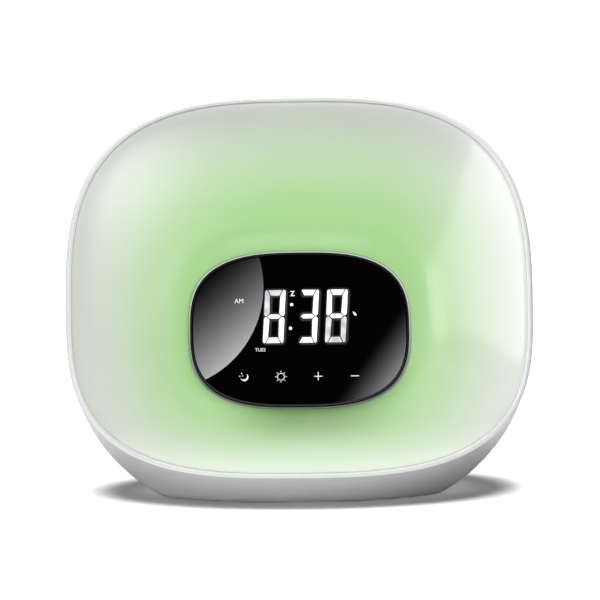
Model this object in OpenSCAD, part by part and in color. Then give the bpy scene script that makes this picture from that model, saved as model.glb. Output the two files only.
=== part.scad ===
// Sunrise alarm clock: a leaning oval wake-up light with a domed diffuser, a black display
// panel in its middle, and a pod-shaped housing that is cut flat where it stands.
// Millimetres. X to the right, Y to the back, Z up. The origin is on the table, under the
// middle of the clock.

/* [Front] */
// Half width of the bezel ring
ring_a = 95; // [90:0.5:100]
// Height of the bezel ring above its widest line, along the face
ring_top = 87.8; // [84:0.2:92]
// Height of the bezel ring below its widest line, along the face
ring_bottom = 67.9; // [66:0.1:69.5]
// Squareness of the front outline (2 is an ellipse)
ring_n = 3; // [2.7:0.05:3.3]
// Width of the bezel ring seen from the front
ring_band = 2.4; // [2:0.1:3.2]
// How far the bezel ring stands in front of the housing
ring_front = 2.8; // [2.4:0.1:3.4]
// Depth of the bezel ring behind the face plane
ring_back = 1.5; // [1:0.1:2]
// Lean of the face back from upright
lean = 10; // [8:0.5:12]
// Height of the widest line of the face above the table
face_z = 80.5; // [79:0.5:82]
// Forward place of the face plane
face_y = -27; // [-29:0.5:-25]

/* [Diffuser] */
// Crown of the diffuser dome
dome_h = 13; // [11:0.5:15]
// Fullness of the dome (0.5 is an ellipse, 1 a parabola)
dome_power = 0.6; // [0.5:0.05:0.8]
// Height of the diffuser rim in front of the face plane
dome_rim = 2; // [1.6:0.1:2.4]
// Wall of the diffuser
dome_wall = 2.2; // [1.8:0.1:2.6]
// Depth of the diffuser skirt behind the face plane
dome_skirt = 4; // [3.5:0.1:5]
// Gap between the diffuser and the bezel ring
dome_gap = 0.3; // [0.2:0.05:0.5]

/* [Display panel] */
// Half width of the display panel with its trim
lens_a = 45; // [43:0.5:47]
// Half height of the display panel with its trim
lens_b = 32; // [31:0.5:33.5]
// Squareness of the display panel
lens_n = 2.9; // [2.6:0.1:3.2]
// Height of the panel's middle above the widest line, along the face
lens_v = -7.2; // [-8.5:0.1:-6]
// Thickness of the display lens
lens_t = 1.8; // [1.5:0.1:2.2]
// Distance of the lens front from the face plane
lens_z = 14; // [13.6:0.1:14.6]
// Width of the metal trim round the lens
trim_w = 0.7; // [0.5:0.05:1]
// How far the lens stands proud of the diffuser beside it
lens_proud = 1; // [0.6:0.1:1.6]
// Clearance round the trim in the diffuser window
window_gap = 0.3; // [0.2:0.05:0.5]

/* [Digits] */
// Height of a digit
digit_h = 21.4; // [20:0.2:22.5]
// Width of a digit
digit_w = 8.3; // [7.8:0.1:9]
// Width of a segment
segment_w = 2.2; // [1.6:0.1:2.4]
// Slant of the digits
digit_slant = 3.3; // [0:0.1:8]
// Cut between neighbouring segments
segment_gap = 0.25; // [0.15:0.05:0.4]
// Height of the digits' middle above the widest line
digit_v = -1.7; // [-2.4:0.1:-1]

/* [Housing] */
// Wall of the housing
wall = 2; // [1.8:0.1:2.4]
// Step from the ring's edge in to the housing
ring_step = 0.5; // [0.3:0.1:0.9]
// Depth of the side curve below the widest line
side_bottom = 90; // [88:0.5:93]
// Squareness of the side curve
side_n = 2.5; // [2.3:0.05:2.7]
// Drop of the front skirt for each millimetre it runs back
skirt_slope = 0.95; // [0.88:0.01:1]
// Softness of the crease between the skirt and the side
crease_r = 1.5; // [1:0.5:5]
// Softness of the edge round the flat underside
sole_r = 1; // [0.5:0.5:4]
// Roundness of the run to the back (higher is boxier)
pod_power = 2.4; // [2:0.1:3]

/* [Back] */
// Place of the back face
rear_y = 46; // [44:0.5:48]
// Height of the back face's middle
rear_z = 74; // [73:0.5:75]
// Half width of the back face
rear_a = 65; // [64:0.5:68]
// Height of the back face above its middle
rear_top = 57; // [56:0.5:60]
// Height of the back face below its middle
rear_bottom = 62; // [61:0.5:64]
// Squareness of the back face
rear_n = 2.6; // [2.5:0.05:2.8]
// Thickness of the back cover
cover_t = 2.6; // [2.4:0.1:3]

/* [Feet] */
// Thickness of the rubber feet, which is the gap under the housing
foot_t = 0.8; // [0.6:0.1:1.6]
// Radius of a foot
foot_r = 6; // [5:0.5:7]
// Half distance between the feet across
foot_x = 34; // [30:1:36]
// Place of the front feet
foot_front = -4; // [-5:0.5:0]
// Place of the back feet
foot_back = 22; // [17:1:23]

/* [Controls] */
// Number of keys in the row
key_count = 6; // [4:1:6]
// Distance from key to key
key_pitch = 14; // [13:0.5:14.5]
// Width of a key
key_w = 10; // [9:0.5:10.5]
// Height of a key
key_h = 6; // [5:0.5:6.5]
// How far a key stands out of the back cover
key_proud = 1; // [0.8:0.1:1.5]
// Travel of a key
key_travel = 0.5; // [0.3:0.05:0.6]
// Height of the key row above the table
key_z = 62; // [61.5:0.1:62.5]
// Clearance between moving plastic pieces
slide_gap = 0.2; // [0.15:0.01:0.25]
// Radius of a switch plunger
stem_r = 1.7; // [1.4:0.05:1.8]
// Running clearance of a switch plunger
stem_gap = 0.08; // [0.05:0.01:0.1]

/* [Power] */
// Sideways place of the power inlet
jack_x = 24; // [22:0.5:26]
// Height of the power inlet
jack_z = 36; // [34:0.5:40]
// Radius of the power inlet's socket
jack_r = 3; // [2.75:0.05:3.2]
// Sideways place of the battery door
door_x = -20; // [-21:0.5:-16]
// Height of the battery door's middle
door_z = 38; // [37.5:0.1:39]
// Width of the battery door
door_w = 26; // [25.5:0.1:27]
// Height of the battery door
door_h = 24; // [23.5:0.1:25]
// Thickness of the battery door
door_t = 2.4; // [2.2:0.1:2.5]
// Radius of the door's hinge pins
pin_r = 0.7; // [0.6:0.05:0.8]
// Running clearance of the hinge pins
pin_gap = 0.06; // [0.04:0.01:0.1]
// Radius of the coin cell
cell_r = 10; // [8:0.5:10]
// Thickness of the coin cell
cell_t = 3.2; // [2:0.1:3.2]

/* [Speaker] */
// Radius of the cone at its rim
cone_r = 19; // [17:0.5:19]
// Width of the speaker's flange outside the cone
speaker_flange = 5; // [4.6:0.1:6]
// Height of the speaker's middle above the table
speaker_z = 100; // [99.5:0.5:102]
// Travel of the cone each way
cone_travel = 0.8; // [0.4:0.1:1]

/* [Boards] */
// Thickness of a circuit board
board_t = 1.6; // [1:0.1:1.6]
// Half width of the main board
board_a = 42; // [41:0.5:42.5]
// Lower edge of the main board
board_low = 20; // [18:0.5:22]
// Upper edge of the main board
board_high = 73; // [72:0.5:74]
// Distance from the main board to the back cover
board_space = 9.4; // [9:0.1:10]
// Radius of a screw shank
screw_r = 1.1; // [0.9:0.1:1.2]
// Clearance of a screw in its hole
screw_gap = 0.05; // [0.03:0.01:0.1]

/* [Hidden] */
$fn = 48;
loop_n = 96;

// Front stack, measured along the normal of the face
in_a = ring_a - ring_band;
in_top = ring_top - ring_band;
in_bottom = ring_bottom - ring_band;
tray_t = 2;
tray_front = -dome_skirt;
pan_depth = 13.5;
pan_t = 1.5;
pan_inset = 6;
pan_floor = -pan_depth + pan_t;
lens_back = lens_z - lens_t;
collar_reach = 1.34;
collar_z = lens_z - lens_proud;
lip_w = 1.4;
barrel_in = lip_w + 1.6;
slot_size = [16, 10];
lip_t = 1.2;
shelf_w = 3.8;
shelf_t = 1.4;
seal_t = 1.6;
seal_front = collar_z - dome_wall - 0.3;
shelf_z = seal_front - seal_t;

// Display
module_gap = 0.2;
module_depth = 7;
module_z = lens_back - module_gap;
module_a = 30;
module_b = 13.5;
segment_t = 0.15;
display_z = module_z - module_depth;
display_boss_x = 33.5;
display_boss_v = 15;
digit_x = [-21.9, -10.2, 3.3, 15];
colon_x = -3.4;
colon_r = 0.7;
colon_v = [4.9, -4.7];
touch_x = [-22.7, -7.6, 7.6, 22.7];
touch_v = -26;
touch_r = 3;
touch_post_r = 1.6;
touch_t = 0.6;

// Light source
led_inner = 1.12;
led_outer = 1.36;
led_count = 24;
led_size = [2.8, 3.5, 1.4];
wire_hole_r = 3;
wire_hole = [lens_a * led_outer + wire_hole_r + 1.8, lens_v];

// Back
cover_in = rear_y - cover_t;
lip_depth = 3;
lip_gap = 0.3;
post_x = 48;
post_up = 32;
post_down = 35;
post_r = 4;
post_bore = 14;
grille_r = cone_r + 2;
slot_w = 1.8;
slot_pitch = 4.2;
standoff_x = 38;
standoff_low = 27;
standoff_high = 69.5;
standoff_r = 3;

// Screws
head_r = 2.1;
head_t = 1.2;
cover_head_r = 2.8;
cover_head_in = 1.5;
cover_screw = 12;
board_bite = 6;
tray_bite = 5;
ear_bite = 1.2;

// Main board and what stands on it
board_back = cover_in - board_space;
board_front = board_back - board_t;
switch_w = 6;
switch_h = 3.6;
stem_free = 1.7;
flange_t = 1;
key_flange = 1;
jack_w = 9;
jack_h = 11;
jack_wall_z = 2;
cell_wall = 1.5;
cell_y = 3.6;
contact_r = 3;

// What stands on the main board: x, z, width, height and thickness of the chips, and
// x, z, radius and length of the capacitors
chips = [[-6, 48, 12, 12, 1.6], [-26, 60, 9, 7, 1.5], [24, 30, 8, 6, 1.4]];
cans = [[30, 44, 4, 11], [19, 44, 4, 11], [-28, 36, 3.2, 8]];
plug_depth = 5;
plug_w = 7;
plug_h = 5;
ribbon_w = 12;
ribbon_t = 0.6;
ribbon_plug_w = ribbon_w + 4;
ribbon_plug_t = 4;
ribbon_plug_z = 58;
led_plug = [34, 57];
speaker_plug = [22, 66];
stub = 1;

// Speaker
gasket_t = 1;
gasket_gap = 0.3;
speaker_t = 1.2;
speaker_wall = 1;
speaker_r = cone_r + speaker_flange;
ear_r = speaker_r - 1.7;
ear_boss_r = 1.6;
ear_screw_r = 0.8;
ear_head_r = 1.5;
basket_depth = 11;
magnet_r = 13;
magnet_t = 8;
coil_r = 7.1;
coil_wall = 0.5;
coil_gap = 0.4;
coil_reach = 3;

function key_x(i) = (i - (key_count + 1) / 2) * key_pitch;

// ---- outlines ----

// Distance from the middle of an oval to its edge at an angle, with its own upper and lower height
function oval_r(angle, a, top, bottom, n) =
    let (b = sin(angle) >= 0 ? top : bottom)
    pow(pow(abs(cos(angle)) / a, n) + pow(abs(sin(angle)) / b, n), -1 / n);

function oval(a, top, bottom, n) =
    [for (i = [0:loop_n - 1])
        let (t = 360 * i / loop_n, r = oval_r(t, a, top, bottom, n)) [r * cos(t), r * sin(t)]];

// How far out a point lies in an oval: 0 in the middle, 1 on the edge
function oval_share(p, a, top, bottom, n) =
    let (b = p[1] >= 0 ? top : bottom)
    pow(pow(abs(p[0]) / a, n) + pow(abs(p[1]) / b, n), 1 / n);

function ring_outline(inset) =
    oval(ring_a - inset, ring_top - inset, ring_bottom - inset, ring_n);

function lens_outline(inset) =
    [for (p = oval(lens_a - inset, lens_b - inset, lens_b - inset, lens_n)) p + [0, lens_v]];

function rear_outline(inset) =
    oval(rear_a - inset, rear_top - inset, rear_bottom - inset, rear_n);

function smooth_step(x) = let (t = min(1, max(0, x))) t * t * (3 - 2 * t);

function smooth_min(a, b, k) =
    k <= 0 ? min(a, b) : let (h = max(k - abs(a - b), 0) / k) min(a, b) - h * h * k / 4;

function smooth_max(a, b, k) = -smooth_min(-a, -b, k);

// ---- frames ----

module on_face() {
    translate([0, face_y, face_z]) rotate([90 - lean, 0, 0]) children();
}

// Drawn plane is the back face, seen from the front: x to the right, y up, and z to the front
module on_back(y = rear_y) {
    translate([0, y, 0]) rotate([90, 0, 0]) children();
}

// Cylinder along Y from y0 to y1
module rod_y(x, z, y0, y1, r, r1 = undef) {
    translate([x, y0, z]) rotate([-90, 0, 0])
        cylinder(h = y1 - y0, r1 = r, r2 = is_undef(r1) ? r : r1);
}

module box_y(x, z, w, h, y0, y1) {
    translate([x - w / 2, y0, z - h / 2]) cube([w, y1 - y0, h]);
}

// Closed skin through a row of loops, the last of which joins the first
module loop_skin(loops) {
    m = len(loops);
    n = len(loops[0]);
    polyhedron(
        points = [for (loop = loops) each loop],
        faces = [for (i = [0:m - 1], j = [0:n - 1])
            let (a = i * n + j, b = i * n + (j + 1) % n,
                 c = (i + 1) % m * n + (j + 1) % n, d = (i + 1) % m * n + j)
            each [[a, b, c], [a, c, d]]],
        convexity = 8);
}

// Round wire along a path, with flat ends
module wire(path, r, sides = 8) {
    last = len(path) - 1;
    rings = [for (i = [0:last])
        let (ahead = path[min(i + 1, last)] - path[max(i - 1, 0)],
             t = ahead / norm(ahead),
             side = cross(t, abs(t[2]) < 0.9 ? [0, 0, 1] : [1, 0, 0]),
             u = side / norm(side), v = cross(u, t))
        [for (k = [0:sides - 1])
            path[i] + r * (cos(360 * k / sides) * u + sin(360 * k / sides) * v)]];
    polyhedron(
        points = [for (ring = rings) each ring],
        faces = concat(
            [[for (k = [0:sides - 1]) k]],
            [for (i = [0:last - 1], k = [0:sides - 1])
                let (a = i * sides + k, b = i * sides + (k + 1) % sides)
                each [[a, a + sides, b + sides], [a, b + sides, b]]],
            [[for (k = [sides - 1:-1:0]) last * sides + k]]));
}

function bezier(p, steps) =
    [for (i = [0:steps]) let (t = i / steps, s = 1 - t)
        s * s * s * p[0] + 3 * s * s * t * p[1] + 3 * s * t * t * p[2] + t * t * t * p[3]];

// ---- front ----

function dome(p) =
    dome_rim + dome_h * pow(max(0, 1 - pow(oval_share(p, in_a, in_top, in_bottom, ring_n), 2)),
        dome_power);

// The dome with the soft collar that flattens it round the display panel
function dome_collar(p) =
    let (share = oval_share(p - [0, lens_v], lens_a, lens_b, lens_b, lens_n),
         blend = smooth_step((share - 1.05) / (collar_reach - 1.05)))
    collar_z + (dome(p) - collar_z) * blend;

// One ring of the diffuser, from the window (step 0) to the rim (step 1)
function dome_ring(step, inset) =
    let (window = lens_outline(-window_gap), rim = ring_outline(ring_band + dome_gap + inset))
    [for (j = [0:loop_n - 1])
        let (p = window[j] * (1 - step) + rim[j] * step) [p[0], p[1], dome_collar(p) - inset]];

module front_diffuser() {
    steps = [0, 0.08, 0.2, 0.36, 0.52, 0.68, 0.82, 0.92, 0.975, 1];
    last = len(steps) - 1;
    skirt = [for (inset = [0, dome_wall])
        [for (p = ring_outline(ring_band + dome_gap + inset)) [p[0], p[1], -dome_skirt]]];
    color("#c9ecbd") on_face()
        loop_skin(concat(
            [for (i = [last:-1:0]) dome_ring(steps[i], dome_wall)],
            [for (i = [0:last]) dome_ring(steps[i], 0)],
            [skirt[0], skirt[1]]));
}

module bezel_ring() {
    section = [[0, -ring_back], [0, 0.8], [0.15, 1.8], [0.55, 2.45], [1.2, ring_front],
        [1.8, ring_front - 0.1], [ring_band - 0.1, ring_front - 0.5], [ring_band, 2],
        [ring_band, -ring_back]];
    color("white") on_face()
        loop_skin([for (s = section) [for (p = ring_outline(s[0])) [p[0], p[1], s[1]]]]);
}

module display_lens() {
    edge = 0.4;
    color("#101012") on_face() translate([0, 0, lens_back]) {
        linear_extrude(lens_t - edge) polygon(lens_outline(trim_w));
        translate([0, 0, lens_t - edge]) linear_extrude(edge) polygon(lens_outline(trim_w + 0.3));
    }
}

module lens_trim() {
    color("silver") on_face() translate([0, 0, lens_back])
        linear_extrude(lens_t + 0.15) difference() {
            polygon(lens_outline(0));
            polygon(lens_outline(trim_w));
        }
}

// Places of the four bosses that hold the display board
module at_bosses(z = 0) {
    for (sx = [-1, 1], sy = [-1, 1])
        translate([sx * display_boss_x, lens_v + sy * display_boss_v, z]) children();
}

module cable_slot() {
    translate([0, lens_v]) square(slot_size, center = true);
}

// Slice of the carrier's barrel, from the panel's outline drawn in by a step to its inside
module barrel_slice(z, t, inset, inner = barrel_in) {
    translate([0, 0, z]) linear_extrude(t) difference() {
        polygon(lens_outline(inset));
        polygon(lens_outline(inner));
    }
}

module display_carrier() {
    board_seat = display_z - board_t;
    bore = 6;
    color("#222426") on_face() difference() {
        union() {
            barrel_slice(pan_floor, lens_back - pan_floor, lip_w);
            barrel_slice(lens_back - lip_t, lip_t, 0);
            barrel_slice(shelf_z - shelf_t, shelf_t, -shelf_w);
            translate([0, 0, pan_floor]) linear_extrude(pan_t) difference() {
                polygon(lens_outline(lip_w));
                cable_slot();
            }
            at_bosses(pan_floor) cylinder(h = board_seat - pan_floor, r = 3);
        }
        at_bosses(pan_floor - 1) cylinder(h = bore + 1, r = screw_r + screw_gap);
        at_bosses(board_seat - bore) cylinder(h = bore + 1, r = screw_r + screw_gap);
    }
}

module light_seal() {
    color("#3a3a3a") on_face() translate([0, 0, shelf_z])
        linear_extrude(seal_t) difference() {
            polygon(lens_outline(-shelf_w + 1));
            polygon(lens_outline(-window_gap - 0.3));
        }
}

module display_board() {
    color("#1c5a33") on_face() translate([0, 0, display_z - board_t])
        linear_extrude(board_t) difference() {
            polygon(lens_outline(barrel_in + 0.3));
            at_bosses() circle(r = screw_r + 0.2);
        }
}

module digit_module() {
    color("#1a1a1c") on_face()
        translate([-module_a, digit_v - module_b, display_z])
            cube([2 * module_a, 2 * module_b, module_depth - segment_t]);
}

// The seven bars of one digit, centred: the uprights hold the corners, and the cuts between
// the bars run steeply from the corners in
module digit_bars() {
    w = digit_w / 2;
    h = digit_h / 2;
    t = segment_w;
    cut = segment_gap / 2;
    corner = 0.7;
    top_out = w - 1.05;
    for (up = [-1, 1]) scale([1, up]) {
        polygon([[-top_out + cut, h], [top_out - cut, h], [w - t - cut, h - t],
            [-w + t + cut, h - t]]);
        for (side = [-1, 1]) scale([side, 1])
            polygon([[top_out + cut, h], [w - corner * 0.4, h - corner * 0.15],
                [w, h - corner], [w, 0.7 + cut], [w - 0.5, cut],
                [w - 1.15, cut], [w - t, t / 2 + cut], [w - t + cut, h - t]]);
    }
    polygon([[-w + 1.15 + cut, 0], [-w + t + cut, t / 2 - cut], [w - t - cut, t / 2 - cut],
        [w - 1.15 - cut, 0], [w - t - cut, -t / 2 + cut], [-w + t + cut, -t / 2 + cut]]);
}

module slanted() {
    multmatrix([[1, tan(digit_slant), 0, 0], [0, 1, 0, 0], [0, 0, 1, 0], [0, 0, 0, 1]]) children();
}

module digit_segments() {
    color("white") on_face() translate([0, digit_v, module_z - segment_t])
        linear_extrude(segment_t) {
            for (x = digit_x) translate([x, 0]) slanted() digit_bars();
            for (v = colon_v)
                translate([colon_x + v * tan(digit_slant), v]) circle(r = colon_r);
        }
}

module touch_pads() {
    color("#b87333") on_face()
        for (x = touch_x) translate([x, touch_v, display_z]) {
            cylinder(h = lens_back - display_z, r = touch_post_r);
            translate([0, 0, lens_back - display_z - touch_t]) cylinder(h = touch_t, r = touch_r);
        }
}

// ---- light source ----

// Outline of the display panel scaled about its own middle
function about_lens(share) =
    [for (p = oval(lens_a * share, lens_b * share, lens_b * share, lens_n)) p + [0, lens_v]];

module light_tray() {
    flange_gap = 0.3;
    color("#f4f4f0") difference() {
        union() {
            on_face() {
                translate([0, 0, tray_front - tray_t]) linear_extrude(tray_t) difference() {
                    polygon(ring_outline(ring_band + dome_gap + flange_gap));
                    polygon(ring_outline(ring_band + pan_inset));
                }
                translate([0, 0, -pan_depth]) linear_extrude(pan_depth + tray_front) difference() {
                    polygon(ring_outline(ring_band + pan_inset - pan_t));
                    polygon(ring_outline(ring_band + pan_inset));
                }
                translate([0, 0, -pan_depth]) linear_extrude(pan_t)
                    polygon(ring_outline(ring_band + pan_inset - pan_t));
            }
            for (sx = [-1, 1], z = [rear_z + post_up, rear_z - post_down])
                rod_y(sx * post_x, z, pan_back_y(z), cover_in, post_r);
        }
        for (sx = [-1, 1], z = [rear_z + post_up, rear_z - post_down])
            rod_y(sx * post_x, z, cover_in - post_bore, cover_in + 1, screw_r + screw_gap);
        on_face() translate([0, 0, -pan_depth - 1]) {
            linear_extrude(pan_t + 2) {
                cable_slot();
                translate(wire_hole) circle(r = wire_hole_r);
                at_bosses() circle(r = screw_r + 0.2);
            }
        }
    }
}

// Where the middle of the pan floor's wall is at a height
function pan_back_y(z) =
    face_y + (pan_depth - pan_t / 2) / cos(lean) + (z - face_z) * tan(lean);

module led_board() {
    color("white") on_face() translate([0, 0, pan_floor])
        linear_extrude(board_t) difference() {
            polygon(about_lens(led_outer));
            polygon(about_lens(led_inner));
        }
}

module led_chips() {
    share = (led_inner + led_outer) / 2;
    color("#ffe9a0") on_face()
        for (i = [0:led_count - 1])
            let (t = 360 * (i + 0.5) / led_count,
                 r = oval_r(t, lens_a * share, lens_b * share, lens_b * share, lens_n))
            translate([r * cos(t), lens_v + r * sin(t), pan_floor + board_t]) rotate(t)
                translate([-led_size[0] / 2, -led_size[1] / 2, 0]) cube(led_size);
}

// ---- housing ----

// Outline of the housing at a share of its depth, drawn in by an inset: a list of 3D points
function pod_loop(s, inset) =
    let (y0 = face_y + ring_back * cos(lean), z0 = face_z - ring_back * sin(lean),
         yc = y0 + (cover_in - y0) * s, zc = z0 + (rear_z - z0) * s, tilt = lean * (1 - s),
         f = pow(1 - pow(s, pod_power), 1 / pod_power),
         a = rear_a + (ring_a - ring_step - rear_a) * f,
         top = rear_top + (ring_top - ring_step - rear_top) * f,
         low = rear_bottom + (side_bottom - rear_bottom) * f,
         n_top = rear_n + (ring_n - rear_n) * f, n_low = rear_n + (side_n - rear_n) * f,
         floor_v = (foot_t + inset - zc) / cos(tilt))
    [for (i = [0:loop_n - 1])
        let (t = 360 * i / loop_n, below = sin(t) < 0,
             side = oval_r(t, a, top, low, below ? n_low : n_top),
             skirt = oval_r(t, a, top, ring_bottom - ring_step, ring_n)
                 + skirt_slope * (cover_in - y0) * s * pow(sin(t), 2),
             r = (below ? smooth_min(side, skirt, crease_r * -sin(t)) : side) - inset,
             v = smooth_max(r * sin(t), floor_v, sole_r))
        [r * cos(t), yc + v * sin(tilt), zc + v * cos(tilt)]];

module main_housing() {
    shares = [0, 0.06, 0.12, 0.18, 0.25, 0.33, 0.42, 0.52, 0.62, 0.72, 0.81, 0.89, 0.95, 0.985, 1];
    last = len(shares) - 1;
    color("#eceef0")
        loop_skin(concat(
            [for (i = [last:-1:0]) pod_loop(shares[i], wall)],
            [for (i = [0:last]) pod_loop(shares[i], 0)]));
}

module rubber_feet() {
    color("#4a4a4c")
        for (x = [-foot_x, foot_x], y = [foot_front, foot_back])
            translate([x, y, 0]) cylinder(h = foot_t, r = foot_r);
}

// ---- back ----

module key_shape(grow = 0) {
    r = 1.5;
    for (i = [1:key_count]) translate([key_x(i), key_z])
        key_outline(key_w + 2 * grow, key_h + 2 * grow, r + grow);
}

// Rounded rectangle, centred
module key_outline(w, h, r) {
    square([w - 2 * r, h], center = true);
    square([w, h - 2 * r], center = true);
    for (sx = [-1, 1], sy = [-1, 1])
        translate([sx * (w / 2 - r), sy * (h / 2 - r)]) circle(r = r);
}

module grille_slots() {
    count = floor((grille_r - slot_w) / slot_pitch);
    for (i = [-count:count])
        let (z = i * slot_pitch, half = sqrt(grille_r * grille_r - z * z))
        translate([0, speaker_z + z]) {
            square([2 * half - slot_w, slot_w], center = true);
            for (s = [-1, 1]) translate([s * (half - slot_w / 2), 0]) circle(r = slot_w / 2);
        }
}

door_low = door_z - door_h / 2;
hinge_r = door_t / 2;
hinge_y = rear_y - hinge_r;
hinge_z = door_low + hinge_r;
pin_reach = 1.6;

module rear_cover() {
    color("#e6e8ea") difference() {
        union() {
            on_back() translate([0, rear_z]) linear_extrude(cover_t) polygon(rear_outline(0));
            on_back(cover_in) translate([0, rear_z]) linear_extrude(lip_depth) difference() {
                polygon(rear_outline(wall + lip_gap));
                polygon(rear_outline(wall + lip_gap + 1.5));
            }
            for (sx = [-1, 1], z = [standoff_low, standoff_high])
                rod_y(sx * standoff_x, z, board_back, cover_in + 0.5, standoff_r);
            for (angle = [45:90:315])
                rod_y(ear_r * cos(angle), speaker_z + ear_r * sin(angle), cover_in - gasket_t,
                    cover_in + 0.5, ear_boss_r);
        }
        on_back(rear_y + 1) linear_extrude(cover_t + 2) {
            key_shape(slide_gap);
            grille_slots();
            translate([jack_x, jack_z]) circle(r = jack_r + 0.2);
            translate([door_x, door_z]) square([door_w + 2 * slide_gap, door_h + 2 * slide_gap],
                center = true);
        }
        rod_x(door_x - door_w / 2 - pin_reach - 0.2, door_x + door_w / 2 + pin_reach + 0.2,
            pin_r + pin_gap);
        for (sx = [-1, 1], z = [rear_z + post_up, rear_z - post_down]) {
            rod_y(sx * post_x, z, cover_in - 1, rear_y + 1, screw_r + 0.2);
            rod_y(sx * post_x, z, rear_y - cover_head_in, rear_y + 1, cover_head_r + 0.4);
        }
        for (sx = [-1, 1], z = [standoff_low, standoff_high])
            rod_y(sx * standoff_x, z, board_back - 1, board_back + board_bite + 1, screw_r + screw_gap);
        for (angle = [45:90:315])
            rod_y(ear_r * cos(angle), speaker_z + ear_r * sin(angle), cover_in - gasket_t - 1,
                cover_in + ear_bite + 0.2, ear_screw_r + screw_gap);
    }
}

// Cylinder along X on the hinge line of the battery door
module rod_x(x0, x1, r) {
    translate([x0, hinge_y, hinge_z]) rotate([0, 90, 0]) cylinder(h = x1 - x0, r = r);
}

module battery_door() {
    notch_r = 5;
    color("#e2e4e6") difference() {
        union() {
            rod_x(door_x - door_w / 2, door_x + door_w / 2, hinge_r);
            rod_x(door_x - door_w / 2 - pin_reach, door_x + door_w / 2 + pin_reach, pin_r);
            box_y(door_x, (hinge_z + door_z + door_h / 2) / 2, door_w,
                door_z + door_h / 2 - hinge_z, rear_y - door_t, rear_y);
        }
        rod_y(door_x, door_z + door_h / 2 + 2, rear_y - 1, rear_y + 1, notch_r);
    }
}

module key(i) {
    x = key_x(i);
    color("#d9dbdd") {
        on_back(rear_y + key_proud) linear_extrude(key_proud + cover_t + slide_gap)
            translate([x, key_z]) key_outline(key_w, key_h, 1.5);
        box_y(x, key_z, key_w + 2 * key_flange, key_h + 2 * key_flange,
            cover_in - slide_gap - flange_t, cover_in - slide_gap);
        rod_y(x, key_z, stem_end, cover_in - slide_gap, 1.6);
    }
}
stem_end = board_back + switch_h + stem_free;

module switch_bodies() {
    color("#2b2b2d")
        for (i = [1:key_count]) difference() {
            box_y(key_x(i), key_z, switch_w, switch_w, board_back, board_back + switch_h);
            rod_y(key_x(i), key_z, board_back + 1.2, board_back + switch_h + 1,
                stem_r + stem_gap);
        }
}

module switch_stem(i) {
    color("#b03a2e") rod_y(key_x(i), key_z, board_back + 1.4 + key_travel, stem_end, stem_r);
}

module dc_jack() {
    color("#1d1d1f") difference() {
        box_y(jack_x, jack_z, jack_w, jack_h, board_back, cover_in);
        rod_y(jack_x, jack_z, board_back + jack_wall_z, cover_in + 1, jack_r);
    }
}

module jack_pin() {
    pin = 1.05;
    color("silver") rod_y(jack_x, jack_z, board_back + jack_wall_z, cover_in - 0.6, pin);
}

module battery_holder() {
    outer = cell_r + cell_wall;
    color("#202224") difference() {
        rod_y(door_x, door_z, board_back, board_back + cell_y + cell_t, outer);
        rod_y(door_x, door_z, board_back + cell_y, board_back + cell_y + cell_t + 1,
            cell_r + 0.15);
        box_y(door_x, door_z + outer, 9, 2 * outer, board_back + cell_y,
            board_back + cell_y + cell_t + 1);
        rod_y(door_x, door_z, board_back - 1, board_back + cell_y + 1, contact_r + 1);
    }
}

module battery_contact() {
    color("goldenrod") rod_y(door_x, door_z, board_back, board_back + cell_y, contact_r);
}

module coin_cell() {
    color("silver") rod_y(door_x, door_z, board_back + cell_y, board_back + cell_y + cell_t,
        cell_r);
}

// ---- main board ----

module main_board() {
    color("#1c5a33") difference() {
        translate([-board_a, board_front, board_low])
            cube([2 * board_a, board_t, board_high - board_low]);
        for (sx = [-1, 1], z = [standoff_low, standoff_high])
            rod_y(sx * standoff_x, z, board_front - 1, board_back + 1, screw_r + 0.2);
    }
}

module control_chips() {
    color("#26282a")
        for (c = chips) box_y(c[0], c[1], c[2], c[3], board_front - c[4], board_front);
}

module capacitors() {
    color("#30406a") for (c = cans) rod_y(c[0], c[1], board_front - c[3], board_front, c[2]);
}

module connectors() {
    color("ivory") {
        box_y(0, ribbon_plug_z, ribbon_plug_w, plug_h, board_front - plug_depth, board_front);
        for (p = [led_plug, speaker_plug])
            box_y(p[0], p[1], plug_w, plug_h, board_front - plug_depth, board_front);
        on_face() translate([0, lens_v, display_z - board_t - ribbon_plug_t / 2])
            cube([ribbon_plug_w, plug_h, ribbon_plug_t], center = true);
    }
}

// ---- speaker ----

module on_speaker() {
    translate([0, cover_in - gasket_t, speaker_z]) rotate([90, 0, 0]) children();
}

module speaker_gasket() {
    color("#3a3a3a") translate([0, cover_in, speaker_z]) rotate([90, 0, 0])
        difference() {
            cylinder(h = gasket_t, r = ear_r - ear_boss_r - 0.2);
            translate([0, 0, -1]) cylinder(h = gasket_t + 2, r = cone_r + gasket_gap);
        }
}

module speaker_frame() {
    rim = cone_r + coil_gap;
    rim_z = 4.2;
    neck = magnet_r - speaker_wall;
    color("#55585c") on_speaker() difference() {
        rotate_extrude($fn = 64) polygon([
            [rim, 0], [speaker_r, 0], [speaker_r, speaker_t], [rim + speaker_wall, speaker_t],
            [rim + speaker_wall, rim_z + speaker_wall / 2], [magnet_r, basket_depth],
            [coil_r + coil_gap, basket_depth], [coil_r + coil_gap, basket_depth - speaker_wall],
            [neck, basket_depth - speaker_wall], [rim, rim_z]]);
        for (angle = [45:90:315])
            translate([ear_r * cos(angle), ear_r * sin(angle), -1])
                cylinder(h = speaker_t + 2, r = ear_screw_r + 0.15);
    }
}

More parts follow.
